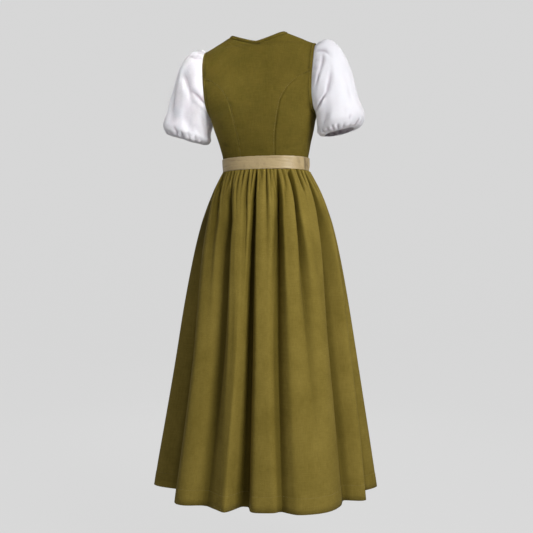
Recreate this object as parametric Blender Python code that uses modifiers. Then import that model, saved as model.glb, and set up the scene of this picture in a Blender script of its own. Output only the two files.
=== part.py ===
"""Dirndl dress, standing out as it does when it is worn.

Metres, +Z up. The front faces -Y, the back +Y, and the wearer's left is +X. The origin is on
the upright axis of the dress, in the middle of the neck opening and level with the neck ends
of the shoulder seams, where the neck and shoulders of the wearer hold it.

Bodice panels lie on one body form, a stack of rings, between named seam curves. Sleeves run
from the armholes to their gathered bottom edges, the sash lies over the lower bodice, and the
skirt falls from the waist seam in gathers that join into deep folds.
"""
import math
from collections import namedtuple

import bpy
import numpy as np

NAME = "dirndl_dress"

# Cloth
WALL = 0.0012            # thickness of every cloth wall
SEAM_GAP = 0.0003        # gap between two pieces at a seam
MERGE = 0.00005          # merge distance at the mirror plane

# Heights, measured down from the neck ends of the shoulder seams
SHOULDER_TIP_Z = -0.039
UNDERARM_Z = -0.225
WAIST_Z = -0.389
HEM_Z = -1.311
BACK_NECK_Z = -0.0235
FRONT_NECK_Z = -0.150

# Widths
NECK_HALF_WIDTH = 0.080
BACK_NECK_POWER = 1.2    # 1 is a V, 2 a round neckline
FRONT_NECK_POWER = 2.6

# Grid of the bodice
ARMHOLE_STEPS = 40       # points round an armhole
PRINCESS_STEP_BACK = 9   # armhole point where the back princess seam starts
PRINCESS_STEP_FRONT = 10
PRINCESS_ROWS = 14       # rows of a panel below that point
CENTRE_COLUMNS = 8
NECK_ROWS_BACK = 5       # rows of a centre panel that end on the neckline
NECK_ROWS_FRONT = 12
SIDE_COLUMNS = 5
SIDE_SEAM_ROWS = 4

# Sash
SASH_TOP_Z = -0.351
SASH_BOTTOM_Z = -0.388
SASH_WALL = 0.0015
SASH_CLEARANCE = 0.0010  # from the bodice to the sash, before both are faceted
SASH_LAP_GAP = 0.0007    # the same between its two ends
SASH_COLUMNS = 76
SASH_ROWS = 1
SASH_START = 168.0       # angle from the centre back where the inner end lies, degrees
SASH_LAP = 26.0          # how far the outer end laps over it, degrees
SASH_RISE = 24.0         # how far before the lap the band starts to climb, degrees

# Sleeves
SLEEVE_ROWS = 11         # a gather is two of the armhole's steps: one crest, one trough
SLEEVE_LENGTH = 0.22     # along the cloth
SLEEVE_DEGREE = 0.0013   # length of one degree round a sleeve
SLEEVE_GAP = 0.00045     # from the armhole to the sleeve
CAP_GATHER_DEPTH = 0.0022
CAP_GATHER_RUN = 0.09    # where the cap's gathers are deepest, as a share of the length
CAP_GATHER_SPAN = 0.08
CAP_GATHER_TURN = 100.0  # gathers reach this far each side of the shoulder tip, degrees
CAP_GATHER_FADE = 30.0
CUFF_GATHER_DEPTH = 0.0026
CUFF_GATHER_RUN = 0.80   # where the bottom edge's gathers begin
CUFF_GATHER_RISE = 0.16

# Skirt
WAIST_GATHERS = 60
GATHER_DEPTH = 0.0021
GATHER_LENGTH = 0.075    # mean length over which a gather fades
GATHER_LENGTH_SPREAD = 0.035
SKIRT_ROWS = 13
ROW_CROWDING = 1.6       # above 1 the rows lie closer under the waist
LEFT_SEAM_ANGLE = -90.0  # side seams at the waist, degrees from the centre back
RIGHT_SEAM_ANGLE = 105.0

# Body form: one ring a row. Depths are measured from centre_y; power 2 is an ellipse and
# above 2 the ring grows squarer.
Ring = namedtuple("Ring", "z half_width back_depth front_depth centre_y back_power front_power")
BODY_RINGS = [
    Ring(-0.425, 0.131, 0.090, 0.106, 0.000, 2.10, 2.00),
    Ring(-0.389, 0.125, 0.083, 0.101, 0.000, 2.15, 2.00),
    Ring(-0.350, 0.127, 0.082, 0.102, 0.003, 2.20, 2.00),
    Ring(-0.310, 0.135, 0.084, 0.108, 0.010, 2.25, 2.05),
    Ring(-0.270, 0.146, 0.083, 0.124, 0.020, 2.30, 2.10),
    Ring(-0.225, 0.158, 0.082, 0.138, 0.029, 2.30, 2.15),
    Ring(-0.200, 0.175, 0.081, 0.134, 0.031, 2.35, 2.20),
    Ring(-0.170, 0.190, 0.079, 0.124, 0.033, 2.45, 2.20),
    Ring(-0.120, 0.201, 0.075, 0.105, 0.036, 2.50, 2.20),
    Ring(-0.080, 0.196, 0.066, 0.088, 0.043, 2.30, 2.10),
    Ring(-0.051, 0.183, 0.052, 0.072, 0.050, 2.05, 2.00),
    Ring(-0.039, 0.166, 0.044, 0.062, 0.053, 2.00, 2.00),
    Ring(-0.027, 0.140, 0.031, 0.050, 0.058, 2.00, 2.00),
    Ring(0.000, 0.080, 0.022, 0.036, 0.067, 2.00, 2.00),
]

# Half-width of the armhole's plane, from underarm to shoulder tip
ArmholeEdge = namedtuple("ArmholeEdge", "z half_width")
ARMHOLE_EDGE = [
    ArmholeEdge(-0.225, 0.158),
    ArmholeEdge(-0.200, 0.159),
    ArmholeEdge(-0.170, 0.160),
    ArmholeEdge(-0.120, 0.163),
    ArmholeEdge(-0.080, 0.165),
    ArmholeEdge(-0.039, 0.166),
]

# Distance of the princess seams from the centre line
Princess = namedtuple("Princess", "z from_centre")
BACK_PRINCESS = [
    Princess(-0.389, 0.052),
    Princess(-0.350, 0.053),
    Princess(-0.300, 0.056),
    Princess(-0.260, 0.063),
    Princess(-0.202, 0.076),
    Princess(-0.170, 0.093),
    Princess(-0.150, 0.111),
    Princess(-0.132, 0.134),
]
FRONT_PRINCESS = [
    Princess(-0.389, 0.058),
    Princess(-0.350, 0.062),
    Princess(-0.300, 0.074),
    Princess(-0.250, 0.090),
    Princess(-0.210, 0.098),
    Princess(-0.180, 0.110),
    Princess(-0.155, 0.131),
]

# Sleeve cloth, one row a place round the armhole: turn is 0 at the shoulder tip, 90 at the
# back, 180 under the arm. leave and arrive say how each thread leaves the armhole and meets
# the bottom edge, the longer the fuller.
SleeveRun = namedtuple("SleeveRun", "turn leave_x leave_y leave_z arrive_x arrive_y arrive_z")
SLEEVE_RUNS = [
    SleeveRun(0, 0.236, 0.000, 0.220, -0.055, 0.000, -0.160),
    SleeveRun(45, 0.178, 0.060, 0.130, -0.045, -0.030, -0.150),
    SleeveRun(90, 0.110, 0.075, 0.010, 0.000, -0.030, -0.140),
    SleeveRun(135, 0.066, 0.050, -0.035, 0.020, -0.020, -0.090),
    SleeveRun(180, 0.028, 0.000, 0.000, 0.045, 0.000, -0.060),
    SleeveRun(225, 0.066, -0.050, -0.035, 0.020, 0.020, -0.090),
    SleeveRun(270, 0.110, -0.075, 0.010, 0.000, 0.030, -0.140),
    SleeveRun(315, 0.178, -0.060, 0.130, -0.045, 0.030, -0.150),
]

# Bottom edges of the sleeves: slope raises the outer side and tip lowers the back, both for
# each metre from the middle. fullness and lift scale how far the threads leave sideways and up.
Cuff = namedtuple("Cuff", "hand x y z half_width half_depth slope tip fullness lift")
CUFFS = [
    Cuff("left", 0.2395, 0.020, -0.2870, 0.0600, 0.058, 0.25, 0.020, 1.00, 1.00),
    Cuff("right", 0.2270, 0.022, -0.2845, 0.0545, 0.056, 0.18, 0.030, 1.11, 0.96),
]
CUFF_CURL = 0.005        # how far the bottom edge turns in
PUFF_ROLL = 0.013        # how far the puff bulges over the bottom edge, at its outer side
PUFF_ROLL_INNER = 0.3    # share of it on the side next to the body
PUFF_ROLL_RUN = 0.85     # where it is widest, 0 at the armhole and 1 at the bottom edge
PUFF_ROLL_SPAN = 0.10

# Largest folds of the sleeves: troughs from one place to another. run is 0 at the armhole and
# 1 at the bottom edge.
SleeveFold = namedtuple("SleeveFold", "name turn_from run_from turn_to run_to depth width")
LEFT_SLEEVE_FOLDS = [
    SleeveFold("underarm_diagonal", 68, 0.42, 132, 0.10, 0.009, 0.011),
    SleeveFold("outer_trough", 30, 0.25, 42, 0.80, 0.006, 0.014),
    SleeveFold("front_trough", 292, 0.25, 285, 0.80, 0.007, 0.014),
]
RIGHT_SLEEVE_FOLDS = [
    SleeveFold("underarm_diagonal", 80, 0.20, 130, 0.45, 0.009, 0.012),
    SleeveFold("cap_trough", 55, 0.16, 82, 0.34, 0.006, 0.012),
    SleeveFold("front_trough", 285, 0.25, 280, 0.80, 0.007, 0.014),
]

# Skirt cone, the mean of its folds, one ring a row
SkirtRing = namedtuple("SkirtRing", "z half_width back_depth front_depth power")
SKIRT_RINGS = [
    SkirtRing(-1.311, 0.315, 0.281, 0.284, 2.00),
    SkirtRing(-1.208, 0.300, 0.267, 0.272, 2.00),
    SkirtRing(-1.061, 0.278, 0.248, 0.255, 2.00),
    SkirtRing(-0.913, 0.256, 0.227, 0.237, 2.00),
    SkirtRing(-0.765, 0.234, 0.205, 0.218, 2.00),
    SkirtRing(-0.660, 0.217, 0.187, 0.201, 2.00),
    SkirtRing(-0.600, 0.206, 0.175, 0.188, 2.00),
    SkirtRing(-0.540, 0.192, 0.158, 0.172, 2.00),
    SkirtRing(-0.500, 0.180, 0.143, 0.157, 2.00),
    SkirtRing(-0.470, 0.169, 0.130, 0.144, 2.02),
    SkirtRing(-0.441, 0.156, 0.114, 0.129, 2.05),
    SkirtRing(-0.411, 0.139, 0.097, 0.113, 2.10),
    SkirtRing(-0.389, 0.126, 0.084, 0.102, 2.12),
]

# Heights at which the folds below are stated
FOLD_UPPER_Z = -0.540
FOLD_MIDDLE_Z = -0.880

# Ridges and valleys of the skirt in order round it. Angles are in degrees from the centre
# back, rising towards the wearer's right; out is how far a line stands outside the cone.
Fold = namedtuple("Fold", "name waist upper middle hem out_upper out_middle out_hem")
SKIRT_FOLDS = [
    Fold("ridge_left", -90, -83, -75, -74, 0.003, 0.009, 0.017),
    Fold("valley_left_back", -80, -69, -58, -58, -0.012, -0.026, -0.040),
    Fold("ridge_left_back", -66, -47, -34, -32, 0.007, 0.014, 0.024),
    Fold("valley_back_left", -42, -21, -15, -16, -0.011, -0.018, -0.006),
    Fold("ridge_back_left_edge", -36, -16, -9, -9, 0.003, 0.005, 0.006),
    Fold("ridge_back_left", -22, -7, -3, -4, 0.005, 0.009, 0.018),
    Fold("valley_back", -3, 2, 3, 2, -0.006, -0.018, -0.033),
    Fold("valley_back_floor", 1, 5, 5.5, 6, -0.012, -0.026, -0.040),
    Fold("ridge_back_edge", 6, 9, 9.3, 9.8, 0.004, 0.008, 0.007),
    Fold("ridge_back", 20, 20, 18, 19, 0.006, 0.010, 0.010),
    Fold("valley_back_right", 38, 32.5, 28.5, 27.5, -0.011, -0.012, 0.006),
    Fold("ridge_back_right_edge", 42, 35.5, 34, 33.5, 0.003, 0.008, 0.022),
    Fold("ridge_back_right", 50, 44, 43, 42, 0.007, 0.014, 0.028),
    Fold("valley_right_back", 77, 77, 74, 68, -0.010, -0.020, -0.016),
    Fold("ridge_right_back", 88, 89, 86, 77, 0.005, 0.012, 0.010),
    Fold("valley_right", 95, 97, 96, 88, -0.004, -0.008, -0.036),
    Fold("ridge_right", 105, 107, 107, 106, 0.006, 0.012, 0.014),
    Fold("valley_right_front", 118, 122, 121, 121, -0.008, -0.018, -0.026),
    Fold("ridge_right_front", 130, 134, 135, 135, 0.006, 0.013, 0.023),
    Fold("valley_front_right", 141, 147, 148, 148, -0.008, -0.018, -0.030),
    Fold("ridge_front_right", 154, 158, 160, 160, 0.005, 0.012, 0.019),
    Fold("valley_front", 168, 170, 171, 172, -0.009, -0.022, -0.036),
    Fold("ridge_front", 182, 183, 184, 186, 0.006, 0.013, 0.022),
    Fold("valley_front_middle", 196, 197, 198, 199, -0.006, -0.014, -0.018),
    Fold("ridge_front_middle", 209, 209, 211, 212, 0.006, 0.012, 0.024),
    Fold("valley_front_left", 222, 221, 223, 225, -0.009, -0.021, -0.034),
    Fold("ridge_front_left", 234, 234, 237, 238, 0.005, 0.012, 0.018),
    Fold("valley_left_front", 246, 249, 251, 252, -0.007, -0.016, -0.025),
    Fold("ridge_left_front", 257, 261, 263, 263, 0.005, 0.012, 0.016),
    Fold("valley_left", 263, 269, 273, 274, -0.005, -0.009, -0.012),
]

# Narrow troughs between the ridges, each down one thread of the skirt, placed by its angle at
# the waist. Widths are degrees of the waist too, and depths are stated at the folds' heights.
Trough = namedtuple("Trough", "name waist width_upper width_middle upper middle hem")
TROUGHS = [
    Trough("left", -76, 4.0, 6.0, 0.010, 0.026, 0.016),
    Trough("left_back_short", -60, 4.5, 5.0, 0.014, 0.003, 0.000),
    Trough("back_left", -42, 4.5, 6.5, 0.018, 0.024, 0.014),
    Trough("back", 1, 3.6, 5.0, 0.018, 0.024, 0.022),
    Trough("back_right", 38, 3.8, 7.0, 0.018, 0.020, 0.014),
    Trough("back_right_short", 56, 3.6, 5.0, 0.020, 0.008, 0.000),
    Trough("right_back", 77, 3.6, 7.0, 0.022, 0.028, 0.022),
    Trough("right", 97, 3.6, 5.5, 0.012, 0.014, 0.006),
    Trough("right_front", 118, 3.8, 6.0, 0.018, 0.026, 0.020),
    Trough("front_right", 141, 3.8, 5.5, 0.016, 0.022, 0.018),
    Trough("front_right_short", 157, 4.0, 5.0, 0.012, 0.004, 0.000),
    Trough("front", 169, 3.8, 6.0, 0.018, 0.028, 0.022),
    Trough("front_middle", 196, 3.8, 5.5, 0.016, 0.016, 0.010),
    Trough("front_left", 222, 3.8, 6.0, 0.018, 0.028, 0.022),
    Trough("front_left_short", 238, 4.0, 5.0, 0.012, 0.004, 0.000),
    Trough("left_front", 247, 3.8, 5.5, 0.014, 0.020, 0.012),
]
TROUGH_WIDTH_WAIST = 3.6
TROUGH_START = 0.030     # length below the waist over which a trough deepens


# ---------------------------------------------------------------- curves

def smooth_curve(knots, values, places):
    """Read a smooth curve through rising knots that never overshoots its values."""
    knots = np.asarray(knots, float)
    values = np.asarray(values, float)
    steps = np.diff(knots)
    rises = np.diff(values) / steps
    slopes = np.empty(len(knots))
    slopes[0], slopes[-1] = rises[0], rises[-1]
    before, after = rises[:-1], rises[1:]
    together = before * after > 0
    total = np.where(together, before + after, 1.0)
    slopes[1:-1] = np.where(together, 2 * before * after / total, 0.0)
    places = np.clip(places, knots[0], knots[-1])
    cell = np.clip(np.searchsorted(knots, places) - 1, 0, len(steps) - 1)
    span = steps[cell]
    t = (places - knots[cell]) / span
    return ((1 + 2 * t) * (1 - t) ** 2 * values[cell] + t * (1 - t) ** 2 * span * slopes[cell]
            + t * t * (3 - 2 * t) * values[cell + 1] - t * t * (1 - t) * span * slopes[cell + 1])


def round_curve(knots, values, places, period, rise=0.0):
    """A smooth curve that repeats after each period, gaining rise each time round."""
    knots = np.asarray(knots, float)
    values = np.asarray(values, float)
    laps = (-1, 0, 1)
    long_knots = np.concatenate([knots + lap * period for lap in laps])
    long_values = np.concatenate([values + lap * rise for lap in laps])
    places = np.asarray(places, float)
    lap = np.floor((places - knots[0]) / period)
    return smooth_curve(long_knots, long_values, places - lap * period) + lap * rise


def column(rows, name):
    """One named column of a table, as an array."""
    return np.array([getattr(row, name) for row in rows], float)


def table_value(rows, name, z):
    """A table's named column, read smoothly at height z."""
    return smooth_curve(column(rows, "z"), column(rows, name), z)


def blend_step(t):
    """0 below 0, 1 above 1, and a smooth step between."""
    t = np.clip(t, 0.0, 1.0)
    return t * t * (3 - 2 * t)


# ---------------------------------------------------------------- body form

def form_angle(x, z, side):
    """Place on a ring, 0 at the centre line and a right angle at the side."""
    power = table_value(BODY_RINGS, "back_power" if side > 0 else "front_power", z)
    reach = np.clip(x / table_value(BODY_RINGS, "half_width", z), 0.0, 1.0)
    return np.arcsin(reach ** (power / 2))


def form_point(angle, z, side):
    """Point of the body form on the +X half; side is 1 on the back and -1 on the front."""
    back = side > 0
    power = table_value(BODY_RINGS, "back_power" if back else "front_power", z)
    depth = table_value(BODY_RINGS, "back_depth" if back else "front_depth", z)
    x = table_value(BODY_RINGS, "half_width", z) * np.sin(angle) ** (2 / power)
    across = np.clip(np.cos(angle), 0.0, 1.0) ** (2 / power)
    y = table_value(BODY_RINGS, "centre_y", z) + side * depth * across
    return np.stack([x, y, z + 0 * x], axis=-1)


def armhole_height(step):
    """Height of an armhole point; steps count from the shoulder tip, both ways."""
    turn = 2 * math.pi * np.asarray(step) / ARMHOLE_STEPS
    middle = (SHOULDER_TIP_Z + UNDERARM_Z) / 2
    return middle + (SHOULDER_TIP_Z - UNDERARM_Z) / 2 * np.cos(turn)


def armhole_edge(steps):
    """(x, z) of armhole points, the same on the back and the front."""
    z = armhole_height(steps)
    return np.stack([table_value(ARMHOLE_EDGE, "half_width", z), z], axis=-1)


def princess_seam(rows, start_step):
    """(x, z) of a princess seam from the waist up to its start on the armhole."""
    top = armhole_edge([start_step])[0]
    heights = np.append(column(rows, "z"), top[1])
    widths = np.append(column(rows, "from_centre"), top[0])
    share = np.linspace(0.0, 1.0, PRINCESS_ROWS + 1)
    z = WAIST_Z + (top[1] - WAIST_Z) * share
    return np.stack([smooth_curve(heights, widths, z), z], axis=-1)


def neckline(share, side):
    """(x, z) of a neckline from the centre line at 0 to the shoulder seam at 1."""
    depth = BACK_NECK_Z if side > 0 else FRONT_NECK_Z
    if side > 0:
        x = NECK_HALF_WIDTH * share
        z = depth * (1 - share ** BACK_NECK_POWER)
    else:
        turn = share * math.pi / 2
        x = NECK_HALF_WIDTH * np.sin(turn) ** (2 / FRONT_NECK_POWER)
        z = depth * np.cos(turn) ** (2 / FRONT_NECK_POWER)
    return np.stack([x, z], axis=-1)


def panel_grid(inner, outer, columns, side):
    """Points between two edges of (x, z) rows, spread evenly round the body form."""
    share = np.linspace(0.0, 1.0, columns + 1)
    z = inner[:, 1:2] + (outer[:, 1:2] - inner[:, 1:2]) * share
    from_angle = form_angle(inner[:, 0], inner[:, 1], side)[:, None]
    to_angle = form_angle(outer[:, 0], outer[:, 1], side)[:, None]
    return form_point(from_angle + (to_angle - from_angle) * share, z, side)


def centre_grid(side):
    """Half of a centre panel: centre line, neckline, shoulder, armhole and princess seam."""
    start = PRINCESS_STEP_BACK if side > 0 else PRINCESS_STEP_FRONT
    princess = princess_seam(BACK_PRINCESS if side > 0 else FRONT_PRINCESS, start)
    armhole = armhole_edge(np.arange(start - 1, -1, -1))
    outer = np.concatenate([princess, armhole])
    neck_rows = NECK_ROWS_BACK if side > 0 else NECK_ROWS_FRONT
    centre_rows = len(outer) - neck_rows
    neck_z = neckline(np.array([0.0]), side)[0, 1]
    centre = np.stack([np.zeros(centre_rows), np.linspace(WAIST_Z, neck_z, centre_rows)], axis=-1)
    inner = np.concatenate([centre, neckline(np.arange(1, neck_rows + 1) / neck_rows, side)])
    return panel_grid(inner, outer, CENTRE_COLUMNS, side)


def side_grid(side):
    """A side panel: princess seam, side seam and the lower part of the armhole."""
    start = PRINCESS_STEP_BACK if side > 0 else PRINCESS_STEP_FRONT
    inner = princess_seam(BACK_PRINCESS if side > 0 else FRONT_PRINCESS, start)
    seam_z = np.linspace(WAIST_Z, UNDERARM_Z, SIDE_SEAM_ROWS + 1)
    seam = np.stack([table_value(BODY_RINGS, "half_width", seam_z), seam_z], axis=-1)
    steps = np.linspace(ARMHOLE_STEPS / 2, start + 1, PRINCESS_ROWS - SIDE_SEAM_ROWS + 1)
    outer = np.concatenate([seam, armhole_edge(steps)[1:]])
    return panel_grid(inner, outer, SIDE_COLUMNS, side)


# ---------------------------------------------------------------- meshes

def unit(vectors):
    return vectors / np.maximum(np.linalg.norm(vectors, axis=-1, keepdims=True), 1e-12)


def pull_in(grid, rows=(True, True), columns=(True, True)):
    """Draw the edges of a grid back by half a seam gap: first and last row, then columns."""
    pulled = grid.copy()
    half_gap = SEAM_GAP / 2
    if rows[0]:
        pulled[0] += half_gap * unit(grid[1] - grid[0])
    if rows[1]:
        pulled[-1] += half_gap * unit(grid[-2] - grid[-1])
    if columns[0]:
        pulled[:, 0] += half_gap * unit(grid[:, 1] - grid[:, 0])
    if columns[1]:
        pulled[:, -1] += half_gap * unit(grid[:, -2] - grid[:, -1])
    return pulled


def collection():
    """The collection that holds the parts."""
    found = bpy.data.collections.get(NAME)
    if found is None:
        found = bpy.data.collections.new(NAME)
        bpy.context.scene.collection.children.link(found)
    return found


def cloth_material(name, colour, roughness):
    """A plain cloth finish."""
    material = bpy.data.materials.get(name) or bpy.data.materials.new(name)
    material.use_nodes = True
    shader = material.node_tree.nodes["Principled BSDF"]
    shader.inputs["Base Color"].default_value = (*colour, 1.0)
    shader.inputs["Roughness"].default_value = roughness
    shader.inputs["Metallic"].default_value = 0.0
    return material


def olive_cotton():
    return cloth_material("olive_cotton", (0.130, 0.096, 0.020), 0.85)


def champagne_satin():
    return cloth_material("champagne_satin", (0.520, 0.400, 0.230), 0.40)


def white_cotton():
    return cloth_material("white_cotton", (0.820, 0.800, 0.850), 0.80)


def cloth_from_grid(name, grid, material, flip, closed=False, mirrored=False, wall=WALL,
                    inwards=False):
    """An open sheet over a grid of points, given its thickness by Solidify."""
    row_count, column_count = grid.shape[:2]
    last = column_count if closed else column_count - 1
    faces = []
    for row in range(row_count - 1):
        for col in range(last):
            beside = (col + 1) % column_count
            face = [row * column_count + col, row * column_count + beside,
                    (row + 1) * column_count + beside, (row + 1) * column_count + col]
            faces.append(face[::-1] if flip else face)
    mesh = bpy.data.meshes.new(name)
    mesh.from_pydata(grid.reshape(-1, 3).tolist(), [], faces)
    mesh.materials.append(material)
    mesh.shade_smooth()
    piece = bpy.data.objects.new(name, mesh)
    collection().objects.link(piece)
    if mirrored:
        mirror = piece.modifiers.new("Mirror", "MIRROR")
        mirror.use_axis[0] = True
        mirror.merge_threshold = MERGE
    solidify = piece.modifiers.new("Wall", "SOLIDIFY")
    solidify.thickness = wall
    solidify.offset = -1.0 if inwards else 1.0
    solidify.use_even_offset = True
    return piece


# ---------------------------------------------------------------- pieces

def bodice():
    """Seven panels, cut as the back, side backs, side fronts and two centre fronts."""
    material = olive_cotton()
    back = pull_in(centre_grid(1), columns=(False, True))
    cloth_from_grid("bodice_back_centre", back, material, flip=True, mirrored=True)
    panels = [("bodice_back_side", side_grid(1), 1), ("bodice_front_side", side_grid(-1), -1),
              ("bodice_front_centre", centre_grid(-1), -1)]
    for name, grid, side in panels:
        grid = pull_in(grid)
        for hand, sign in (("left", 1), ("right", -1)):
            cloth_from_grid(f"{name}_{hand}", grid * (sign, 1, 1), material,
                            flip=side * sign > 0)


def sash():
    """A satin band round the waist whose outer end laps over the inner one at the front."""
    turned = np.linspace(0.0, 360.0 + SASH_LAP, SASH_COLUMNS + 1)
    angle = np.radians(SASH_START - turned)
    climb = blend_step((turned - (360.0 - SASH_RISE)) / SASH_RISE) * (SASH_WALL + SASH_LAP_GAP)
    heights = np.linspace(SASH_BOTTOM_Z, SASH_TOP_Z, SASH_ROWS + 1)
    outward = WALL + SASH_CLEARANCE + climb
    rows = []
    for z in heights:
        back = np.cos(angle) > 0
        power = np.where(back, table_value(BODY_RINGS, "back_power", z),
                         table_value(BODY_RINGS, "front_power", z))
        half_width = table_value(BODY_RINGS, "half_width", z) + outward
        depth = np.where(back, table_value(BODY_RINGS, "back_depth", z),
                         table_value(BODY_RINGS, "front_depth", z)) + outward
        reach = (np.abs(np.sin(angle) / half_width) ** power
                 + np.abs(np.cos(angle) / depth) ** power) ** (-1 / power)
        centre = table_value(BODY_RINGS, "centre_y", z)
        rows.append(np.stack([-reach * np.sin(angle), centre + reach * np.cos(angle),
                              np.full_like(angle, z)], axis=-1))
    cloth_from_grid("sash", np.array(rows), champagne_satin(), flip=True, wall=SASH_WALL)


def armhole_ring():
    """Points round the left armhole and the direction in which the bodice ends at each."""
    steps = np.arange(ARMHOLE_STEPS)
    turn = 2 * math.pi * steps / ARMHOLE_STEPS
    edge = armhole_edge(steps)
    points = []
    for step, (x, z) in zip(steps, edge):
        side = 1 if step <= ARMHOLE_STEPS / 2 else -1
        points.append(form_point(form_angle(x, z, side), z, side))
    under = np.clip(-np.cos(turn), 0.0, 1.0) ** 2
    away = np.stack([1 - under, -0.45 * np.sin(turn), 1.3 * under - 0.4 * np.cos(turn)], axis=-1)
    return np.array(points), unit(away)


def sleeve_grid(cuff, folds, rows=SLEEVE_ROWS):
    """A left-handed sleeve's outer face, from the armhole to the bottom edge."""
    edge, away = armhole_ring()
    start = edge + away * SLEEVE_GAP
    turn = np.arange(ARMHOLE_STEPS) * 360.0 / ARMHOLE_STEPS
    runs = [round_curve(column(SLEEVE_RUNS, "turn"), column(SLEEVE_RUNS, name), turn, 360.0)
            for name in SleeveRun._fields[1:]]
    leave, arrive = np.stack(runs[:3], axis=-1), np.stack(runs[3:], axis=-1)
    outwards = np.stack([np.cos(np.radians(turn)), np.sin(np.radians(turn)), 0 * turn], axis=-1)
    end = np.array([cuff.x, cuff.y, cuff.z]) + outwards * (cuff.half_width, cuff.half_depth, 0)
    end[:, 2] += cuff.slope * cuff.half_width * outwards[:, 0]
    end[:, 2] -= cuff.tip * cuff.half_depth * outwards[:, 1]
    run = np.linspace(0.0, 1.0, rows + 1)[:, None, None]
    grid = ((1 + 2 * run) * (1 - run) ** 2 * start
            + run * (1 - run) ** 2 * leave * (cuff.fullness, cuff.fullness, cuff.lift)
            + run * run * (3 - 2 * run) * end - run * run * (1 - run) * arrive)
    roll = PUFF_ROLL * np.exp(-((run - PUFF_ROLL_RUN) / PUFF_ROLL_SPAN) ** 2)
    roll = roll * (PUFF_ROLL_INNER + (1 - PUFF_ROLL_INNER) * (1 + outwards[:, :1]) / 2)
    roll[-1] -= CUFF_CURL
    grid = grid + roll * outwards
    return grid + sleeve_relief(grid, folds)


def sleeve_relief(grid, folds):
    """Gathers at both ends of a sleeve and its largest folds, as offsets along its normals."""
    rows, columns = grid.shape[:2]
    along = np.gradient(grid, axis=0)
    around = np.roll(grid, -1, axis=1) - np.roll(grid, 1, axis=1)
    outward = unit(np.cross(along, around))
    run = np.linspace(0.0, 1.0, rows)[:, None]
    turn = (np.arange(columns) * 360.0 / columns)[None, :]
    crest = np.where(np.arange(columns) % 2 == 0, 1.0, -1.0)[None, :]
    from_tip = np.abs((turn + 180) % 360 - 180)
    over_cap = blend_step((CAP_GATHER_TURN - from_tip) / CAP_GATHER_FADE)
    cap = np.exp(-((run - CAP_GATHER_RUN) / CAP_GATHER_SPAN) ** 2) * CAP_GATHER_DEPTH * over_cap
    cuff = CUFF_GATHER_DEPTH * blend_step((run - CUFF_GATHER_RUN) / CUFF_GATHER_RISE)
    height = crest * (cap + cuff)
    for fold in folds:
        height = height - sleeve_trough(fold, turn, run)
    height[0] = 0.0
    return outward * height[..., None]


def sleeve_trough(fold, turn, run):
    """Depth of one fold at each place of a sleeve, tapered towards both ends."""
    across = ((turn - fold.turn_from + 180) % 360 - 180) * SLEEVE_DEGREE
    down = (run - fold.run_from) * SLEEVE_LENGTH
    line = np.array([(fold.turn_to - fold.turn_from) * SLEEVE_DEGREE,
                     (fold.run_to - fold.run_from) * SLEEVE_LENGTH])
    length = np.hypot(*line)
    line = line / length
    along = np.clip(across * line[0] + down * line[1], 0.0, length)
    distance = np.hypot(across - along * line[0], down - along * line[1])
    taper = np.sin(math.pi * np.clip(0.12 + 0.76 * along / length, 0.0, 1.0))
    return fold.depth * taper * np.exp(-(distance / fold.width) ** 2)


def sleeves():
    """Puff sleeves, full between a gathered cap and a gathered bottom edge."""
    material = white_cotton()
    for cuff, folds in zip(CUFFS, (LEFT_SLEEVE_FOLDS, RIGHT_SLEEVE_FOLDS)):
        sign = 1 if cuff.hand == "left" else -1
        grid = sleeve_grid(cuff, folds) * (sign, 1, 1)
        cloth_from_grid(f"sleeve_{cuff.hand}", grid, material, flip=sign > 0, closed=True,
                        inwards=True)


def skirt_radius(angle, z):
    """Distance of the skirt's cone from the axis at an angle from the centre back."""
    back = np.cos(angle) > 0
    power = table_value(SKIRT_RINGS, "power", z)
    depth = np.where(back, table_value(SKIRT_RINGS, "back_depth", z),
                     table_value(SKIRT_RINGS, "front_depth", z))
    half_width = table_value(SKIRT_RINGS, "half_width", z)
    return (np.abs(np.sin(angle) / half_width) ** power
            + np.abs(np.cos(angle) / depth) ** power) ** (-1 / power)


def waist_shares():
    """Waist angles in degrees, and the share of the waist's length that each one marks."""
    angle = np.linspace(-90.0, 270.0, 721)
    radius = skirt_radius(np.radians(angle), WAIST_Z)
    x, y = radius * np.sin(np.radians(angle)), radius * np.cos(np.radians(angle))
    length = np.concatenate([[0.0], np.cumsum(np.hypot(np.diff(x), np.diff(y)))])
    return angle, length / length[-1]


def share_at(waist_angle):
    """Share of the waist at an angle, counted from the left side round the back."""
    angle, share = waist_shares()
    lap = np.floor((np.asarray(waist_angle, float) + 90.0) / 360.0)
    return np.interp(np.asarray(waist_angle) - lap * 360.0, angle, share) + lap


def across_levels(values, z):
    """Read values stated at the waist, the two fold heights and the hem at height z."""
    levels = np.array([WAIST_Z, FOLD_UPPER_Z, FOLD_MIDDLE_Z, HEM_Z])
    place = np.searchsorted(-levels, -z, side="right") - 1
    place = min(max(place, 0), len(levels) - 2)
    t = (levels[place] - z) / (levels[place] - levels[place + 1])
    before, after = values[place], values[place + 1]
    slope_in = after - before if place == 0 else (after - values[place - 1]) / 2
    slope_out = after - before if place == len(levels) - 2 else (values[place + 2] - before) / 2
    return ((1 + 2 * t) * (1 - t) ** 2 * before + t * (1 - t) ** 2 * slope_in
            + t * t * (3 - 2 * t) * after - t * t * (1 - t) * slope_out)


def gather_length(index):
    """How far down each gather fades, uneven but the same every time."""
    wave = math.sin(2.4 * index) + 0.6 * math.sin(5.1 * index + 1.0)
    return GATHER_LENGTH + GATHER_LENGTH_SPREAD * wave / 1.6


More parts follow.
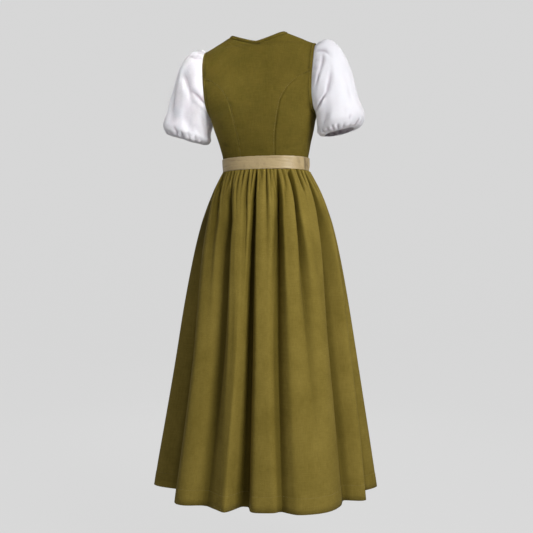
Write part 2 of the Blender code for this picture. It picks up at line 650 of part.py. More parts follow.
def troughs(share, z):
    """Depth of the narrow troughs at one height."""
    deep = np.zeros_like(share)
    start = 1 - math.exp(-(WAIST_Z - z) / TROUGH_START)
    for trough in TROUGHS:
        width = across_levels((TROUGH_WIDTH_WAIST, trough.width_upper, trough.width_middle,
                               trough.width_middle), z) / 360.0
        if z > FOLD_UPPER_Z:
            depth = trough.upper * start
        else:
            depth = across_levels((trough.upper, trough.upper, trough.middle, trough.hem), z)
        offset = (share - share_at(trough.waist) + 0.5) % 1.0 - 0.5
        deep += depth * np.exp(-(offset / width) ** 2)
    return deep


def skirt_ring(share, z):
    """Points of the skirt at one height for threads at shares of the waist."""
    knots = share_at(column(SKIRT_FOLDS, "waist"))
    angles = [round_curve(knots, column(SKIRT_FOLDS, name), share, 1.0, 360.0)
              for name in ("waist", "upper", "middle", "hem")]
    outs = [np.zeros_like(share)]
    for level in ("upper", "middle", "hem"):
        outs.append(round_curve(knots, column(SKIRT_FOLDS, f"out_{level}"), share, 1.0))
    angle = np.radians(across_levels(angles, z))
    radius = skirt_radius(angle, z) + across_levels(outs, z) - troughs(share, z)
    gather = share * WAIST_GATHERS
    below = WAIST_Z - z
    fade = np.exp(-(below / np.array([gather_length(round(g)) for g in gather])) ** 1.6)
    radius = radius + GATHER_DEPTH * (1 + np.cos(2 * math.pi * gather)) * fade
    return np.stack([-radius * np.sin(angle), radius * np.cos(angle),
                     np.full_like(angle, z)], axis=-1)


def skirt():
    """Back and front panels, gathered at the waist and hanging in folds to the hem."""
    material = olive_cotton()
    step = 1 / (2 * WAIST_GATHERS)
    left = 2 * round(float(share_at(LEFT_SEAM_ANGLE)) * WAIST_GATHERS)
    right = 2 * round(float(share_at(RIGHT_SEAM_ANGLE)) * WAIST_GATHERS)
    down = np.linspace(0.0, 1.0, SKIRT_ROWS + 1) ** ROW_CROWDING
    heights = WAIST_Z + (HEM_Z - WAIST_Z) * down
    panels = (("skirt_back", left, right), ("skirt_front", right, left + 2 * WAIST_GATHERS))
    for name, first, last in panels:
        share = np.arange(first, last + 1) * step
        grid = np.array([skirt_ring(share, z) for z in heights])
        grid[0, :, 2] -= SEAM_GAP / 2
        cloth_from_grid(name, pull_in(grid, rows=(False, False)), material, flip=True)


def clear_scene():
    for thing in list(bpy.data.objects):
        bpy.data.objects.remove(thing, do_unlink=True)


def main():
    clear_scene()
    bodice()
    sash()
    sleeves()
    skirt()


main()
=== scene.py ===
"""Looks of the dirndl dress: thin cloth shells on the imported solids, their cloth, and the studio.

Metres, in the frame of the solids: +Z up, the front faces -Y, the wearer's left is +X. Every
shell follows the form of the solid that it replaces, on a finer grid, with the creases,
gathers and seams that the cloth has.
"""
import math
from collections import namedtuple

import bmesh
import bpy
import numpy as np
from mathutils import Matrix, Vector


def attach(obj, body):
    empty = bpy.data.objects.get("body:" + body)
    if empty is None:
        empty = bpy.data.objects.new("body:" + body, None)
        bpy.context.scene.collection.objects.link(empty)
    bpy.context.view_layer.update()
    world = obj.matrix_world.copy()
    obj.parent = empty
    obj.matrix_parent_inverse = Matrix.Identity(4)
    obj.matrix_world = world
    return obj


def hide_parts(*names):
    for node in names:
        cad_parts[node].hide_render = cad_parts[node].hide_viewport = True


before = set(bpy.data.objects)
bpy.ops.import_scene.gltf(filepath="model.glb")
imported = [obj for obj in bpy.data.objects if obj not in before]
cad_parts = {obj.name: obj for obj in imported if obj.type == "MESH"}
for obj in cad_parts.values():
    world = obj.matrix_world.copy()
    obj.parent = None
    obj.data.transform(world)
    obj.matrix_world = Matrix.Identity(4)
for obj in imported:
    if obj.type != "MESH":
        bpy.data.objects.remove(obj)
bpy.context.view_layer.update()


def table(row, millimetres, rows):
    """Rows of a table; the columns named as millimetres are turned into metres."""
    small = [name in millimetres.split() for name in row._fields]
    return [row(*(value / 1000 if shrink else value for value, shrink in zip(values, small)))
            for values in rows]


BACK, FRONT = 1, -1  # sides of the dress, by the sign of y
HANDS = {"left": 1, "right": -1}

# Cloth
WALL = 0.0012  # thickness of every cloth wall
SEAM_GAP = 0.0001  # gap between two pieces at a seam
BODY_MIDDLE = (0.0, 0.02, 0.0)
PAINTED_SHADE_ATTRIBUTE = "Painted_shade"  # name of the mesh attribute of painted shade: how far the cloth lies in a fold, darkening its colour there

# Heights, measured down from the neck ends of the shoulder seams
SHOULDER_TIP_Z = -0.039
UNDERARM_Z = -0.225
WAIST_Z = -0.389
HEM_Z = -1.311

# Neckline. A power of 1 is a V, 2 is round.
NECK_HALF_WIDTH = 0.080
NECK_Z = {BACK: -0.0235, FRONT: -0.150}
BACK_NECK_POWER = 1.2
FRONT_NECK_POWER = 2.6
NECK_POINTS = 80  # of its curve, for the distance from it
NECK_NEAR = 0.02  # distance within which the neck rim is looked for

# The solids' grid, and how much finer the shells are
ARMHOLE_STEPS = 40
PRINCESS_STEP = {BACK: 9, FRONT: 10}
PRINCESS_ROWS = 14
SIDE_SEAM_ROWS = 4
NECK_ROWS = {BACK: 5, FRONT: 12}
FINE = 8  # shell rows to one row of a bodice solid
CENTRE_COLUMNS = 60
SIDE_COLUMNS = 40
SLEEVE_COLUMNS = 240
SLEEVE_ROWS = 96
SASH_COLUMNS = 480
SASH_ROWS = 22
GATHER_COLUMNS = 14  # shell columns to one gather of the skirt
SKIRT_ROWS = 78
WAIST_STEPS = 720
ROW_CROWDING = 1.6  # above 1 the rows lie closer under the waist

# Seams and faced edges of the bodice
PRINCESS_STITCH_INSET = 0.0035
STITCH_MARGIN = 3  # grid rows left bare at the ends of a row of armhole stitches
TOP_MARGIN = 2  # the same at the top of the closure and of the side panels
SEAM_ROLL = 0.0022  # how far from a seam the cloth starts to turn into it
SEAM_DIP = 0.0008
RIM_WIDTH = 0.0055  # of the faced edges at the neck and armholes
RIM_STEP = 0.0015  # over which a faced edge comes down to the cloth
RIM_RISE = 0.0018
RIM_GROOVE = 0.0012
RIM_GROOVE_DEPTH = 0.0007
PUCKER_DEPTH = 0.00045
PUCKER_REACH = 0.011  # of the small waves beside a seam
PUCKER_LENGTH = 0.008
PUCKER_STEP = 7.3  # in the noise, from one seam to the next
PRESS_HEIGHT = 0.014  # above the sash, over which it presses the bodice flat
HOLLOW_REACH = 5  # rows and columns over which a bodice seam or crease is judged, for the painted shade in it
HOLLOW_DEPTH = 0.0012

# Stitches: share of the pitch that one fills, then its girth along it
Stitch = namedtuple("Stitch", "thread slot pitch radius")
STITCH_FILL = 0.72
STITCH_SIDES = 5
STITCH_SHARES = (0.0, 0.25, 0.75, 1.0)
STITCH_GIRTHS = (0.35, 1.0, 1.0, 0.35)
STITCH_LIFT = 0.2  # of its radius

# Sash
SASH_TOP_Z = -0.351
SASH_BOTTOM_Z = -0.388
SASH_WALL = 0.0015
SASH_CLEARANCE = 0.0010
SASH_LAP_GAP = 0.0007
SASH_START = 168.0  # angle from the centre back where the inner end lies, degrees
SASH_LAP = 26.0
SASH_RISE = 24.0
SASH_DEGREE = 0.0021  # length of one degree round the waist
SASH_SWELL = 0.0010
SASH_SWELL_POWER = 0.7
SASH_EDGE = 0.0032  # from each edge to the fold over its turning
SASH_EDGE_RISE = 0.0004
SASH_EDGE_WIDTH = 0.0012
SASH_FRILL = 0.0004  # of the lower edge, over the skirt's gathers
SASH_FRILL_DEGREES = 1.9
SASH_FRILL_REACH = 0.14
SASH_DEEPEST = -0.0004
SASH_END_INSET = 0.004
SASH_PRESS = 0.0003  # how far the sash presses the bodice in
# Columns and depth by which the sash's hollows are judged, for the painted shade in them
SASH_HOLLOW_REACH = 10
SASH_HOLLOW_DEPTH = 0.0009

# Sleeves. A turn is an angle round one in degrees, and a run is 0 at the armhole and 1 at the
# bottom edge.
SLEEVE_TURN = np.arange(SLEEVE_COLUMNS) * 360.0 / SLEEVE_COLUMNS
SLEEVE_RUN = np.linspace(0.0, 1.0, SLEEVE_ROWS + 1)[:, None]
SLEEVE_LENGTH = 0.22  # along the cloth
SLEEVE_DEGREE = 0.0013  # length of one degree round a sleeve
SLEEVE_GAP = 0.00045
AWAY_BACK, AWAY_UNDER, AWAY_UP = -0.45, 1.3, -0.4  # of the bodice's edge at an armhole
SLEEVE_GATHERS = 20
SLEEVE_GATHER_MEAN = 0.8
CAP_GATHER_DEPTH = 0.0010
CAP_GATHER_RUN = 0.06
CAP_GATHER_SPAN = 0.07
CAP_GATHER_TURN = 100.0  # as far as the gathers of the head go, degrees from the shoulder tip
CAP_GATHER_FADE = 30.0
CUFF_GATHER_DEPTH = 0.0021
CUFF_GATHER_RUN = 0.88
CUFF_GATHER_SPAN = 0.07
CUFF_EDGE_RUN = 0.965  # past it the bottom edge is smooth again
CUFF_CURL = 0.013  # how far the bottom edge turns in
CUFF_CURL_RUN = 0.950
ELASTIC_RUN = 0.945  # where the elastic is stitched
ELASTIC_DEPTH = 0.0010
ELASTIC_SPAN = 0.018
ARMHOLE_SEAM_RUN = 0.03  # over which the relief starts
# Columns and depth by which the sleeves' hollows are judged, for the painted shade in them
SLEEVE_HOLLOW_REACH = 7
SLEEVE_HOLLOW_DEPTH = 0.0022

# Skirt
WAIST_GATHERS = 60
GATHER_DEPTH = 0.0024
GATHER_LENGTH = 0.075  # mean length over which a gather fades
GATHER_WEAKEST = 0.2  # share of the mean depth
GATHER_FADE_POWER = 1.6
GATHER_ROUNDNESS = 0.75
LEFT_SEAM_ANGLE = -90.0
RIGHT_SEAM_ANGLE = 105.0
SKIRT_DEGREE = 0.0042  # length of one degree of the waist half way down the skirt
HANG_LENGTH = 0.12  # below the waist, over which the cloth comes to hang softly
HEM_DEPTH = 0.040  # height of the turned-up hem
HEM_RISE = 0.0005
HEM_STEP = 0.002
HEM_GROOVE = 0.0006
HEM_GROOVE_WIDTH = 0.0015
HEM_LINE_ROWS = (0.004, 0.002, 0.001, 0.0, -0.001, -0.002, -0.004)  # above its stitching
HEM_LINE_CLEAR = 0.005

# Size that each piece was cut to, as it shows; area_share is what its outline fills of that
Cut = namedtuple("Cut", "name width length area_share held")
CUTS = table(Cut, "", (
    ("bodice_back_centre", 0.345, 0.400, 0.58, "stretched"),
    ("bodice_back_side", 0.165, 0.280, 0.62, "stretched"),
    ("bodice_front_centre", 0.180, 0.400, 0.57, "stretched"),
    ("bodice_front_side", 0.160, 0.270, 0.62, "stretched"),
    ("sash", 0.760, 0.037, 1, "stretched"),
    ("sleeve", 0.580, 0.220, 0.78, "gathered"),
    ("skirt", 1.100, 0.930, 1, "gathered"),
))

# Soft unevenness: the height of each wave, how many lie in a unit each way, the seed of its
# noise and the number of cells after which it repeats. Rows of one kind add up.
Wave = namedtuple("Wave", "kind height per_u per_v seed repeat")
WAVES = table(Wave, "", (
    ("bodice", 0.0006, 1 / 0.045, 1 / 0.040, 0, 64),
    ("bodice", 0.0003, 1 / 0.016, 1 / 0.022, 1, 64),
    ("sash", 0.0003, 1 / 5, 3, 41, 64),
    ("sash", 0.0003, 1 / 22, 5, 42, 64),
    ("sash_frill_shift", 2.0, 1 / 6, 0, 43, 64),
    ("sash_drop", 0.0004, 1 / 4, 2, 44, 64),
    ("sleeve", 0.0016, 12 / 360, 5, 4, 12),
    ("sleeve", 0.0007, 30 / 360, 9, 5, 30),
    ("sleeve_gather_shift", 2.2, 16 / 360, 0.5, 0, 16),
    ("sleeve_gather_depth", 1.0, 20 / 360, 3.5, 1, 20),
    ("cap_gather_span", 0.5, 20 / 360, 7.5, 2, 20),
    ("cuff_gather_run", 0.05, 20 / 360, 9.5, 3, 20),
    ("skirt", 0.0014, 40, 1 / 0.30, 74, 40),
    ("skirt", 0.0005, 120, 1 / 0.16, 75, 120),
    ("gather_shift", 0.35, 32, 0.5, 71, 32),
    ("gather_depth", 0.8, 60, 2.5, 72, 60),
    ("gather_length", 0.035, 60, 4.5, 73, 60),
))

# Studio. Azimuths are in degrees, 0 in front of the wearer; the camera is at about 198.
PHOTO_WIDTH = 533
CAMERA_TURN = 17.6  # degrees from straight behind
CAMERA_DISTANCE = 2.48
CAMERA_Z = -0.665
CAMERA_FOCAL = 840.0  # in pixels
CAMERA_AIM_X = 0.8
CAMERA_AIM_Y = -0.5
SENSOR_WIDTH = 36.0  # in millimetres
FLOOR_Z = -1.60
SWEEP_START = 3.2
SWEEP_RADIUS = 1.6
SWEEP_STEPS = 12
BACKDROP_SIDES = 96
WALL_TOP_Z = 4.0
PAPER_MATT = 0.04
PAPER_GLOW = 0.66
AMBIENT_ABOVE = 0.17
AMBIENT_BELOW = 0.47  # light that a pale floor throws back
Light = namedtuple("Light", "name azimuth height distance size power spread aim")
LIGHTS = table(Light, "", (
    ("key_back", 231, 0.7, 2.6, 1.0, 80, 180, (0.0, 0.0, -0.60)),
    ("fill_back", 150, 0.0, 2.8, 1.8, 3, 180, (0.0, 0.0, -0.60)),
    ("fill_left_sleeve", 192, 0.8, 2.0, 0.3, 0.40, 16, (0.26, 0.03, -0.14)),
    ("fill_right_sleeve", 172, -0.9, 2.0, 0.3, 0.10, 16, (-0.27, 0.03, -0.25)),
    ("key_front", 20, 0.9, 2.8, 1.6, 60, 180, (0.0, 0.0, -0.60)),
))


# Body form: one ring a row. Depths are measured from centre_y; power 2 is an ellipse.
Ring = namedtuple("Ring", "z half_width back_depth front_depth centre_y back_power front_power")
BODY_RINGS = table(Ring, "z half_width back_depth front_depth centre_y", (
    (-425, 131, 90, 106, 0, 2.1, 2), (-389, 125, 83, 101, 0, 2.15, 2),
    (-350, 127, 82, 102, 3, 2.2, 2), (-310, 135, 84, 108, 10, 2.25, 2.05),
    (-270, 146, 83, 124, 20, 2.3, 2.1), (-225, 158, 82, 138, 29, 2.3, 2.15),
    (-200, 175, 81, 134, 31, 2.35, 2.2), (-170, 190, 79, 124, 33, 2.45, 2.2),
    (-120, 201, 75, 105, 36, 2.5, 2.2), (-80, 196, 66, 88, 43, 2.3, 2.1),
    (-51, 183, 52, 72, 50, 2.05, 2), (-39, 166, 44, 62, 53, 2, 2), (-27, 140, 31, 50, 58, 2, 2),
    (0, 80, 22, 36, 67, 2, 2),
))

# Half-width of the armhole's plane, from underarm to shoulder tip
Edge = namedtuple("Edge", "z half_width")
ARMHOLE_EDGE = table(Edge, "z half_width", (
    (-225, 158), (-200, 159), (-170, 160), (-120, 163), (-80, 165), (-39, 166),
))

# Distance of the princess seams from the centre line
PRINCESS = {}
PRINCESS[BACK] = table(Edge, "z half_width", (
    (-389, 52), (-350, 53), (-300, 56), (-260, 63), (-202, 76), (-170, 93), (-150, 111),
    (-132, 134),
))
PRINCESS[FRONT] = table(Edge, "z half_width", (
    (-389, 58), (-350, 62), (-300, 74), (-250, 90), (-210, 98), (-180, 110), (-155, 131),
))

# Sleeve cloth: turn is 0 at the shoulder tip, 90 at the back, 180 under the arm. leave and
# arrive say how each thread leaves the armhole and meets the bottom edge.
SleeveRun = namedtuple("SleeveRun", "turn leave_x leave_y leave_z arrive_x arrive_y arrive_z")
SLEEVE_RUNS = table(SleeveRun, "leave_x leave_y leave_z arrive_x arrive_y arrive_z", (
    (0, 236, 0, 220, -55, 0, -160), (45, 178, 60, 130, -45, -30, -150),
    (90, 110, 75, 10, 0, -30, -140), (135, 66, 50, -35, 20, -20, -90), (180, 28, 0, 0, 45, 0, -60),
    (225, 66, -50, -35, 20, 20, -90), (270, 110, -75, 10, 0, 30, -140),
    (315, 178, -60, 130, -45, 30, -150),
))
# The bottom edge of each sleeve: slope raises its outer side, tip lowers its back, and
# fullness and lift scale how far the cloth leaves the armhole sideways and upwards
Cuff = namedtuple("Cuff", "hand x y z half_width half_depth slope tip fullness lift seed")
CUFFS = table(Cuff, "x y z half_width half_depth", (
    ("left", 239.5, 20, -287, 60, 58, 0.25, 0.02, 1, 1, 51),
    ("right", 227, 22, -284.5, 54.5, 56, 0.18, 0.03, 1.11, 0.96, 61),
))
PUFF_ROLL = 0.013  # how far the puff bulges over the bottom edge, at its outer side
PUFF_ROLL_RUN = 0.85
PUFF_ROLL_SPAN = 0.10
PUFF_ROLL_INNER = 0.3  # share of it on the side next to the body

# Skirt cone, the mean of its folds
SkirtRing = namedtuple("SkirtRing", "z half_width back_depth front_depth power")
SKIRT_RINGS = table(SkirtRing, "z half_width back_depth front_depth", (
    (-1311, 315, 281, 284, 2), (-1208, 300, 267, 272, 2), (-1061, 278, 248, 255, 2),
    (-913, 256, 227, 237, 2), (-765, 234, 205, 218, 2), (-660, 217, 187, 201, 2),
    (-600, 206, 175, 188, 2), (-540, 192, 158, 172, 2), (-500, 180, 143, 157, 2),
    (-470, 169, 130, 144, 2.02), (-441, 156, 114, 129, 2.05), (-411, 139, 97, 113, 2.1),
    (-389, 126, 84, 102, 2.12),
))
FOLD_UPPER_Z = -0.540
FOLD_MIDDLE_Z = -0.880

# Ridges and valleys of the skirt in order round it. Angles are in degrees from the centre
# back, rising towards the wearer's right; out is how far a line stands outside the cone.
Fold = namedtuple("Fold", "waist upper middle hem out_upper out_middle out_hem")
SKIRT_FOLDS = table(Fold, "out_upper out_middle out_hem", (
    (-90, -83, -75, -74, 3, 9, 18), (-80, -69, -58, -58, -12, -26, -40),
    (-66, -44, -34, -32, 7, 14, 24), (-42, -21, -17.5, -18, -11, -18, -10),
    (-36, -16, -9, -9, 3, 5, 6), (-22, -7, -3, -4, 5, 9, 18), (-3, 2, 3, 2, -6, -18, -33),
    (1, 5, 5.5, 6, -12, -21, -31), (6, 9, 9.3, 9.8, 2, 4, 4), (20, 20, 19, 21, 6, 9, 8),
    (38, 32, 27.5, 26.5, -11, -13, 3), (42, 34.8, 33, 33, 6, 12, 26), (50, 44, 43, 42, 7, 13, 27),
    (77, 76.8, 77, 69, -12, -26, -22), (88, 88.5, 86, 77, 4, 6, 8), (95, 97, 96, 88, -4, -8, -36),
    (105, 107, 107, 106, 6, 12, 14), (118, 122, 121, 121, -8, -18, -26),
    (130, 134, 135, 135, 6, 13, 23), (141, 147, 148, 148, -8, -18, -30),
    (154, 158, 160, 160, 5, 12, 19), (168, 170, 171, 172, -9, -22, -36),
    (182, 183, 184, 186, 6, 13, 22), (196, 197, 198, 199, -6, -14, -18),
    (209, 209, 211, 212, 6, 12, 24), (222, 221, 223, 225, -9, -21, -34),
    (234, 234, 237, 238, 5, 12, 18), (246, 249, 251, 252, -7, -16, -25),
    (257, 261, 263, 263, 5, 12, 16), (263, 269, 273, 274, -5, -9, -12),
))

# Narrow troughs between the ridges, at waist angles. Widths are degrees of the waist too, and
# lean widens the left side and narrows the right one. A higher power makes a flatter floor.
# Depths are stated as the folds are, and a trough is already deep close under the waist.
Trough = namedtuple("Trough", "waist width_upper width_middle upper middle hem lean power")
TROUGHS = table(Trough, "upper middle hem", (
    (-73.6, 3, 5.6, 18, 40, 30, 2.2, 2.6), (-62, 4, 6, 9, 6, 0, 1, 2),
    (-42, 2.2, 7.5, 14, 14, 3, 2.4, 1.7), (-14, 3.6, 5, 8, 0, 0, 1.2, 2),
    (1, 2.6, 5, 17, 22, 15, 1.3, 3), (18, 3.4, 5, 6, 0, 0, 1, 2),
    (38, 1.6, 8, 15, 16, 12, 2.8, 1.8), (54.2, 1.8, 5.2, 30, 22, 0, 1, 1.6),
    (78.8, 2.3, 7, 28, 36, 20, 1.1, 1.8), (97, 2.6, 5.5, 14, 14, 6, 1, 2),
    (118, 3, 6, 20, 28, 20, 0.8, 2.4), (141, 2.8, 5.5, 18, 24, 18, 1.2, 2),
    (157, 3.2, 5, 14, 4, 0, 1, 2), (169, 3, 6, 20, 30, 22, 0.8, 2.6),
    (196, 3, 5.5, 18, 16, 10, 1, 2), (222, 3, 6, 20, 30, 22, 1.3, 2.4),
    (238, 3.2, 5, 14, 4, 0, 1, 2), (247, 2.8, 5.5, 16, 22, 12, 1, 2),
))
# How much painted shade the cloth gets in folds: columns looked at each way, depth of a full fold,
# its tone, the strength of that shade
FoldScale = namedtuple("FoldScale", "reach depth tone")
WIDE_FOLDS = FoldScale(28, 0.009, 0.80)
NARROW_FOLDS = FoldScale(5, 0.006, 1.00)
NARROW_FOLD_LENGTH = 0.48  # below the waist, over which narrow folds get less and less painted shade
TROUGH_WIDTH_WAIST = 2.0
TROUGH_START = 0.030  # length below the waist over which a trough deepens

CREASE_END = 0.12  # how blunt the ends of a crease are, as a share of it
# Creases, placed on the flat cloth as soft troughs, or ridges where depth is negative. bow
# bends a crease sideways at its middle.
Crease = namedtuple("Crease", "u0 v0 u1 v1 bow depth width")

# Bodice creases in x and z
BODICE_CREASES = {}
BODICE_CREASES[BACK] = table(Crease, "u0 v0 u1 v1 bow depth width", (
    (74, -10, -16, -34, 3, 1.2, 2.6), (77, -15, 6, -41, 3, 1, 2.6), (80, -21, 22, -49, 2, 0.9, 3),
    (-76, -13, -40, -31, -1, 0.4, 3), (158, -46, 136, -34, 0, 0.8, 2.2),
    (110, -250, 80, -300, 4, 1, 12), (118, -300, 75, -325, 2, 0.8, 9),
    (-112, -262, -80, -310, -4, 1, 12), (-120, -312, -78, -330, -2, 0.7, 9),
    (36, -318, -20, -334, 2, 0.5, 8), (-150, -120, -128, -165, -2, 0.7, 7),
    (148, -110, 130, -160, 2, 0.6, 7),
))
BODICE_CREASES[FRONT] = table(Crease, "u0 v0 u1 v1 bow depth width", (
    (152, -130, 112, -158, 3, 0.9, 6), (-151, -126, -114, -160, -3, 0.8, 6),
    (120, -262, 78, -300, 4, 1.1, 11), (-118, -270, -82, -306, -4, 1, 11),
    (112, -312, 70, -330, 2, 0.8, 8), (-110, -318, -66, -332, -2, 0.9, 8),
    (44, -305, 6, -322, 2, 0.5, 7), (-82, -30, -112, -70, 3, 0.6, 5),
    (83, -28, 108, -74, -3, 0.6, 5),
))

# Sleeve creases in turn (degrees) and run (0 at the armhole, 1 at the bottom edge)
SLEEVE_CREASES = {}
SLEEVE_CREASES["left"] = table(Crease, "bow depth width", (
    (38, 0.05, 44, 0.17, 2, 1.6, 4.5), (12, 0.26, 44, 0.12, 4, 1.6, 5),
    (48, 0.36, 95, 0.335, -3, 5.2, 12.5), (92, 0.29, 131, 0, 2, 4.6, 5),
    (100, 0.33, 140, 0.06, 2, -2.6, 7.5), (34, 0.5, 74, 0.82, 4, 8, 18),
    (146, 0.3, 160, 0.6, 4, 2.6, 12), (112, 0.46, 100, 0.66, 2, 1.4, 10),
    (128, 0.62, 120, 0.74, 2, 1.6, 7), (74, 0.84, 88, 0.94, 2, 3.4, 5),
    (94, 0.87, 100, 0.95, 1, 2.6, 4), (112, 0.86, 116, 0.95, 1, 2.4, 4.5),
    (130, 0.84, 132, 0.94, 1, 2.2, 4.5), (6, 0.4, 14, 0.8, 3, 3, 14),
    (332, 0.2, 320, 0.6, -4, 4, 14), (292, 0.26, 286, 0.8, 4, 4.4, 14),
    (262, 0.22, 232, 0.14, 3, 4.4, 6), (250, 0.4, 240, 0.85, 3, 3.4, 12),
))
SLEEVE_CREASES["right"] = table(Crease, "bow depth width", (
    (47, 0.09, 45, 0.26, 1, 3.6, 7), (54, 0.17, 78, 0.2, 2, 3.6, 8),
    (80, 0.2, 104, 0.16, 0, 3.4, 7), (62, 0.36, 94, 0.48, 3, 4.6, 10),
    (96, 0.465, 138, 0.32, 2, 5, 5.5), (104, 0.52, 144, 0.4, 2, -2, 8),
    (104, 0.58, 128, 0.86, 4, 2.2, 15), (50, 0.83, 52, 0.9, 0, 2.4, 6),
    (34, 0.4, 48, 0.8, 4, 1.2, 16), (340, 0.22, 330, 0.7, -4, 3.4, 14),
    (286, 0.24, 280, 0.8, 4, 4.4, 14), (258, 0.24, 230, 0.16, 3, 4.4, 6),
    (246, 0.44, 238, 0.88, 3, 3.4, 12),
))

# Skirt creases in waist angle (degrees) and z
SKIRT_CREASES = table(Crease, "v0 v1 bow depth width", (
    (start, -392, end, low, 0, depth, width) for start, end, low, depth, width in (
        (-67, -64, -440, 5, 8), (-50, -52, -450, 4.5, 8), (-33, -31, -450, 4.5, 7.5),
        (-24, -23, -425, 3.5, 7), (-6, -6, -430, 3.5, 7), (10, 11, -420, 3.5, 7),
        (26, 28, -450, 5, 7.5), (31, 33, -440, 4.5, 6.5), (46, 46, -450, 5, 7.5),
        (52, 53, -430, 4.5, 7), (65, 66, -455, 5, 8), (71, 72, -430, 4.5, 7), (85, 86, -460, 5, 8),
        (106, 107, -440, 4.5, 8), (112, 112, -470, 4, 8), (128, 129, -450, 5, 8),
        (149, 149, -440, 4.5, 8), (163, 163, -460, 5, 8), (178, 179, -440, 4.5, 8),
        (187, 187, -470, 5, 8), (206, 207, -440, 4.5, 8), (214, 214, -460, 5, 8),
        (231, 231, -440, 4.5, 8), (254, 255, -460, 5, 8), (263, 263, -440, 4.5, 8),
)))

# Sash creases in angle (degrees from the centre back) and z
SASH_CREASES = table(Crease, "v0 v1 bow depth width", (
    (20, -356, 62, -362, 0.6, 0.5, 2.4), (30, -364, 66, -374, 0.8, 0.5, 2.6),
    (8, -374, 40, -383, 0.4, 0.4, 2), (-60, -360, -10, -364, 0.8, 0.7, 1.8),
    (-80, -376, -30, -373, 0.8, 0.7, 1.8), (73, -350, 76, -389, 1, -2.2, 4.5),
    (82, -350, 85, -389, 0.5, 5, 9), (80, -366, 92, -374, 0.4, -1.6, 2),
    (96, -352, 95, -386, 1, -1.8, 4), (120, -360, 165, -368, 0.8, 0.9, 1.8),
    (130, -380, 172, -372, 0.8, 0.8, 1.8), (200, -364, 250, -360, 0.8, 0.8, 1.8),
    (196, -376, 236, -381, 0.8, 0.9, 1.6),
))


# ---- curves

def hermite(t, before, slope_in, after, slope_out):
    """A cubic between two values with these slopes, t running from 0 to 1."""
    return ((1 + 2 * t) * (1 - t) ** 2 * before + t * (1 - t) ** 2 * slope_in
            + t * t * (3 - 2 * t) * after - t * t * (1 - t) * slope_out)


def smooth_curve(knots, values, places):
    """Read a smooth curve through rising knots that never overshoots its values."""
    knots, values = np.asarray(knots, float), np.asarray(values, float)
    steps = np.diff(knots)
    rises = np.diff(values) / steps
    slopes = np.empty(len(knots))
    slopes[0], slopes[-1] = rises[0], rises[-1]
    before, after = rises[:-1], rises[1:]
    together = before * after > 0
    total = np.where(together, before + after, 1.0)
    slopes[1:-1] = np.where(together, 2 * before * after / total, 0.0)
    places = np.clip(places, knots[0], knots[-1])
    cell = np.clip(np.searchsorted(knots, places) - 1, 0, len(steps) - 1)
    span = steps[cell]
    return hermite((places - knots[cell]) / span, values[cell], span * slopes[cell],
                   values[cell + 1], span * slopes[cell + 1])


def round_curve(knots, values, places, period, rise=0.0):
    """A smooth curve that repeats after each period, gaining rise each time round."""
    laps = (-1, 0, 1)
    long_knots = np.concatenate([knots + lap * period for lap in laps])
    long_values = np.concatenate([values + lap * rise for lap in laps])
    lap = np.floor((places - knots[0]) / period)
    return smooth_curve(long_knots, long_values, places - lap * period) + lap * rise


def column(rows, name):
    """One named column of a table, as an array."""
    return np.array([getattr(row, name) for row in rows], float)


def table_value(rows, name, z):
    """A table's named column, read smoothly at height z."""
    return smooth_curve(column(rows, "z"), column(rows, name), z)


def blend_step(t):
    """0 below 0, 1 above 1, and a smooth step between."""
    t = np.clip(t, 0.0, 1.0)
    return t * t * (3 - 2 * t)


def bell(distance, width):
    """1 at no distance, fading smoothly over a width."""
    return np.exp(-(distance / width) ** 2)


def stacked(*parts):
    """Points from their coordinates."""
    return np.stack(np.broadcast_arrays(*parts), axis=-1)


def soft_noise(u, v, seed, repeat=64):
    """Smooth seeded noise between -1 and 1, one value to a unit cell, repeating in both ways."""
    lattice = np.random.default_rng(seed).uniform(-1.0, 1.0, (repeat, repeat))
    u, v = np.broadcast_arrays(np.asarray(u, float), np.asarray(v, float))
    col, row = np.floor(u).astype(int), np.floor(v).astype(int)
    s, t = blend_step(u - col), blend_step(v - row)
    low, high = (lattice[place % repeat, col % repeat] * (1 - s)
                 + lattice[place % repeat, (col + 1) % repeat] * s for place in (row, row + 1))
    return low * (1 - t) + high * t


def waves(kind, u, v=1.0, seed=0):
    """The soft unevenness that the rows of one kind in WAVES add up to."""
    return sum(row.height * soft_noise(u * row.per_u, v * row.per_v, row.seed + seed, row.repeat)
               for row in WAVES if row.kind == kind)


def crease_relief(u, v, creases, u_size=1.0, v_size=1.0, period=None):
    """Height of creases at flat places; u_size and v_size are the metres in a unit of each."""
    height = np.zeros(np.broadcast(u, v).shape)
    for crease in creases:
        reach = crease.u1 - crease.u0
        aside = u - crease.u0
        if period:
            aside = (aside - reach / 2 + period / 2) % period - period / 2 + reach / 2
        aside, down = aside * u_size, (v - crease.v0) * v_size
        run_u, run_v = reach * u_size, (crease.v1 - crease.v0) * v_size
        length = math.hypot(run_u, run_v)
        place = (aside * run_u + down * run_v) / length ** 2
        t = np.clip(place, 0.0, 1.0)
        off = (down * run_u - aside * run_v) / length - crease.bow * 4 * t * (1 - t)
        beyond = (place - t) * length
        taper = np.sin(math.pi * (CREASE_END + (1 - 2 * CREASE_END) * t))
        height -= crease.depth * taper * bell(np.hypot(off, beyond), crease.width)
    return height


# ---- forms

def body(name, z, side=0):
    """A measure of the body form at height z, of the back or the front where each has its own."""
    return table_value(BODY_RINGS, {0: "", BACK: "back_", FRONT: "front_"}[side] + name, z)


def ring_radius(angle, half_width, depth, power):
    """Distance from a ring's middle at an angle from the centre back."""
    return (np.abs(np.sin(angle) / half_width) ** power
            + np.abs(np.cos(angle) / depth) ** power) ** (-1 / power)


def form_angle(x, z, side):
    """Place on a ring, 0 at the centre line and a right angle at the side."""
    reach = np.clip(x / body("half_width", z), 0.0, 1.0)
    return np.arcsin(reach ** (body("power", z, side) / 2))


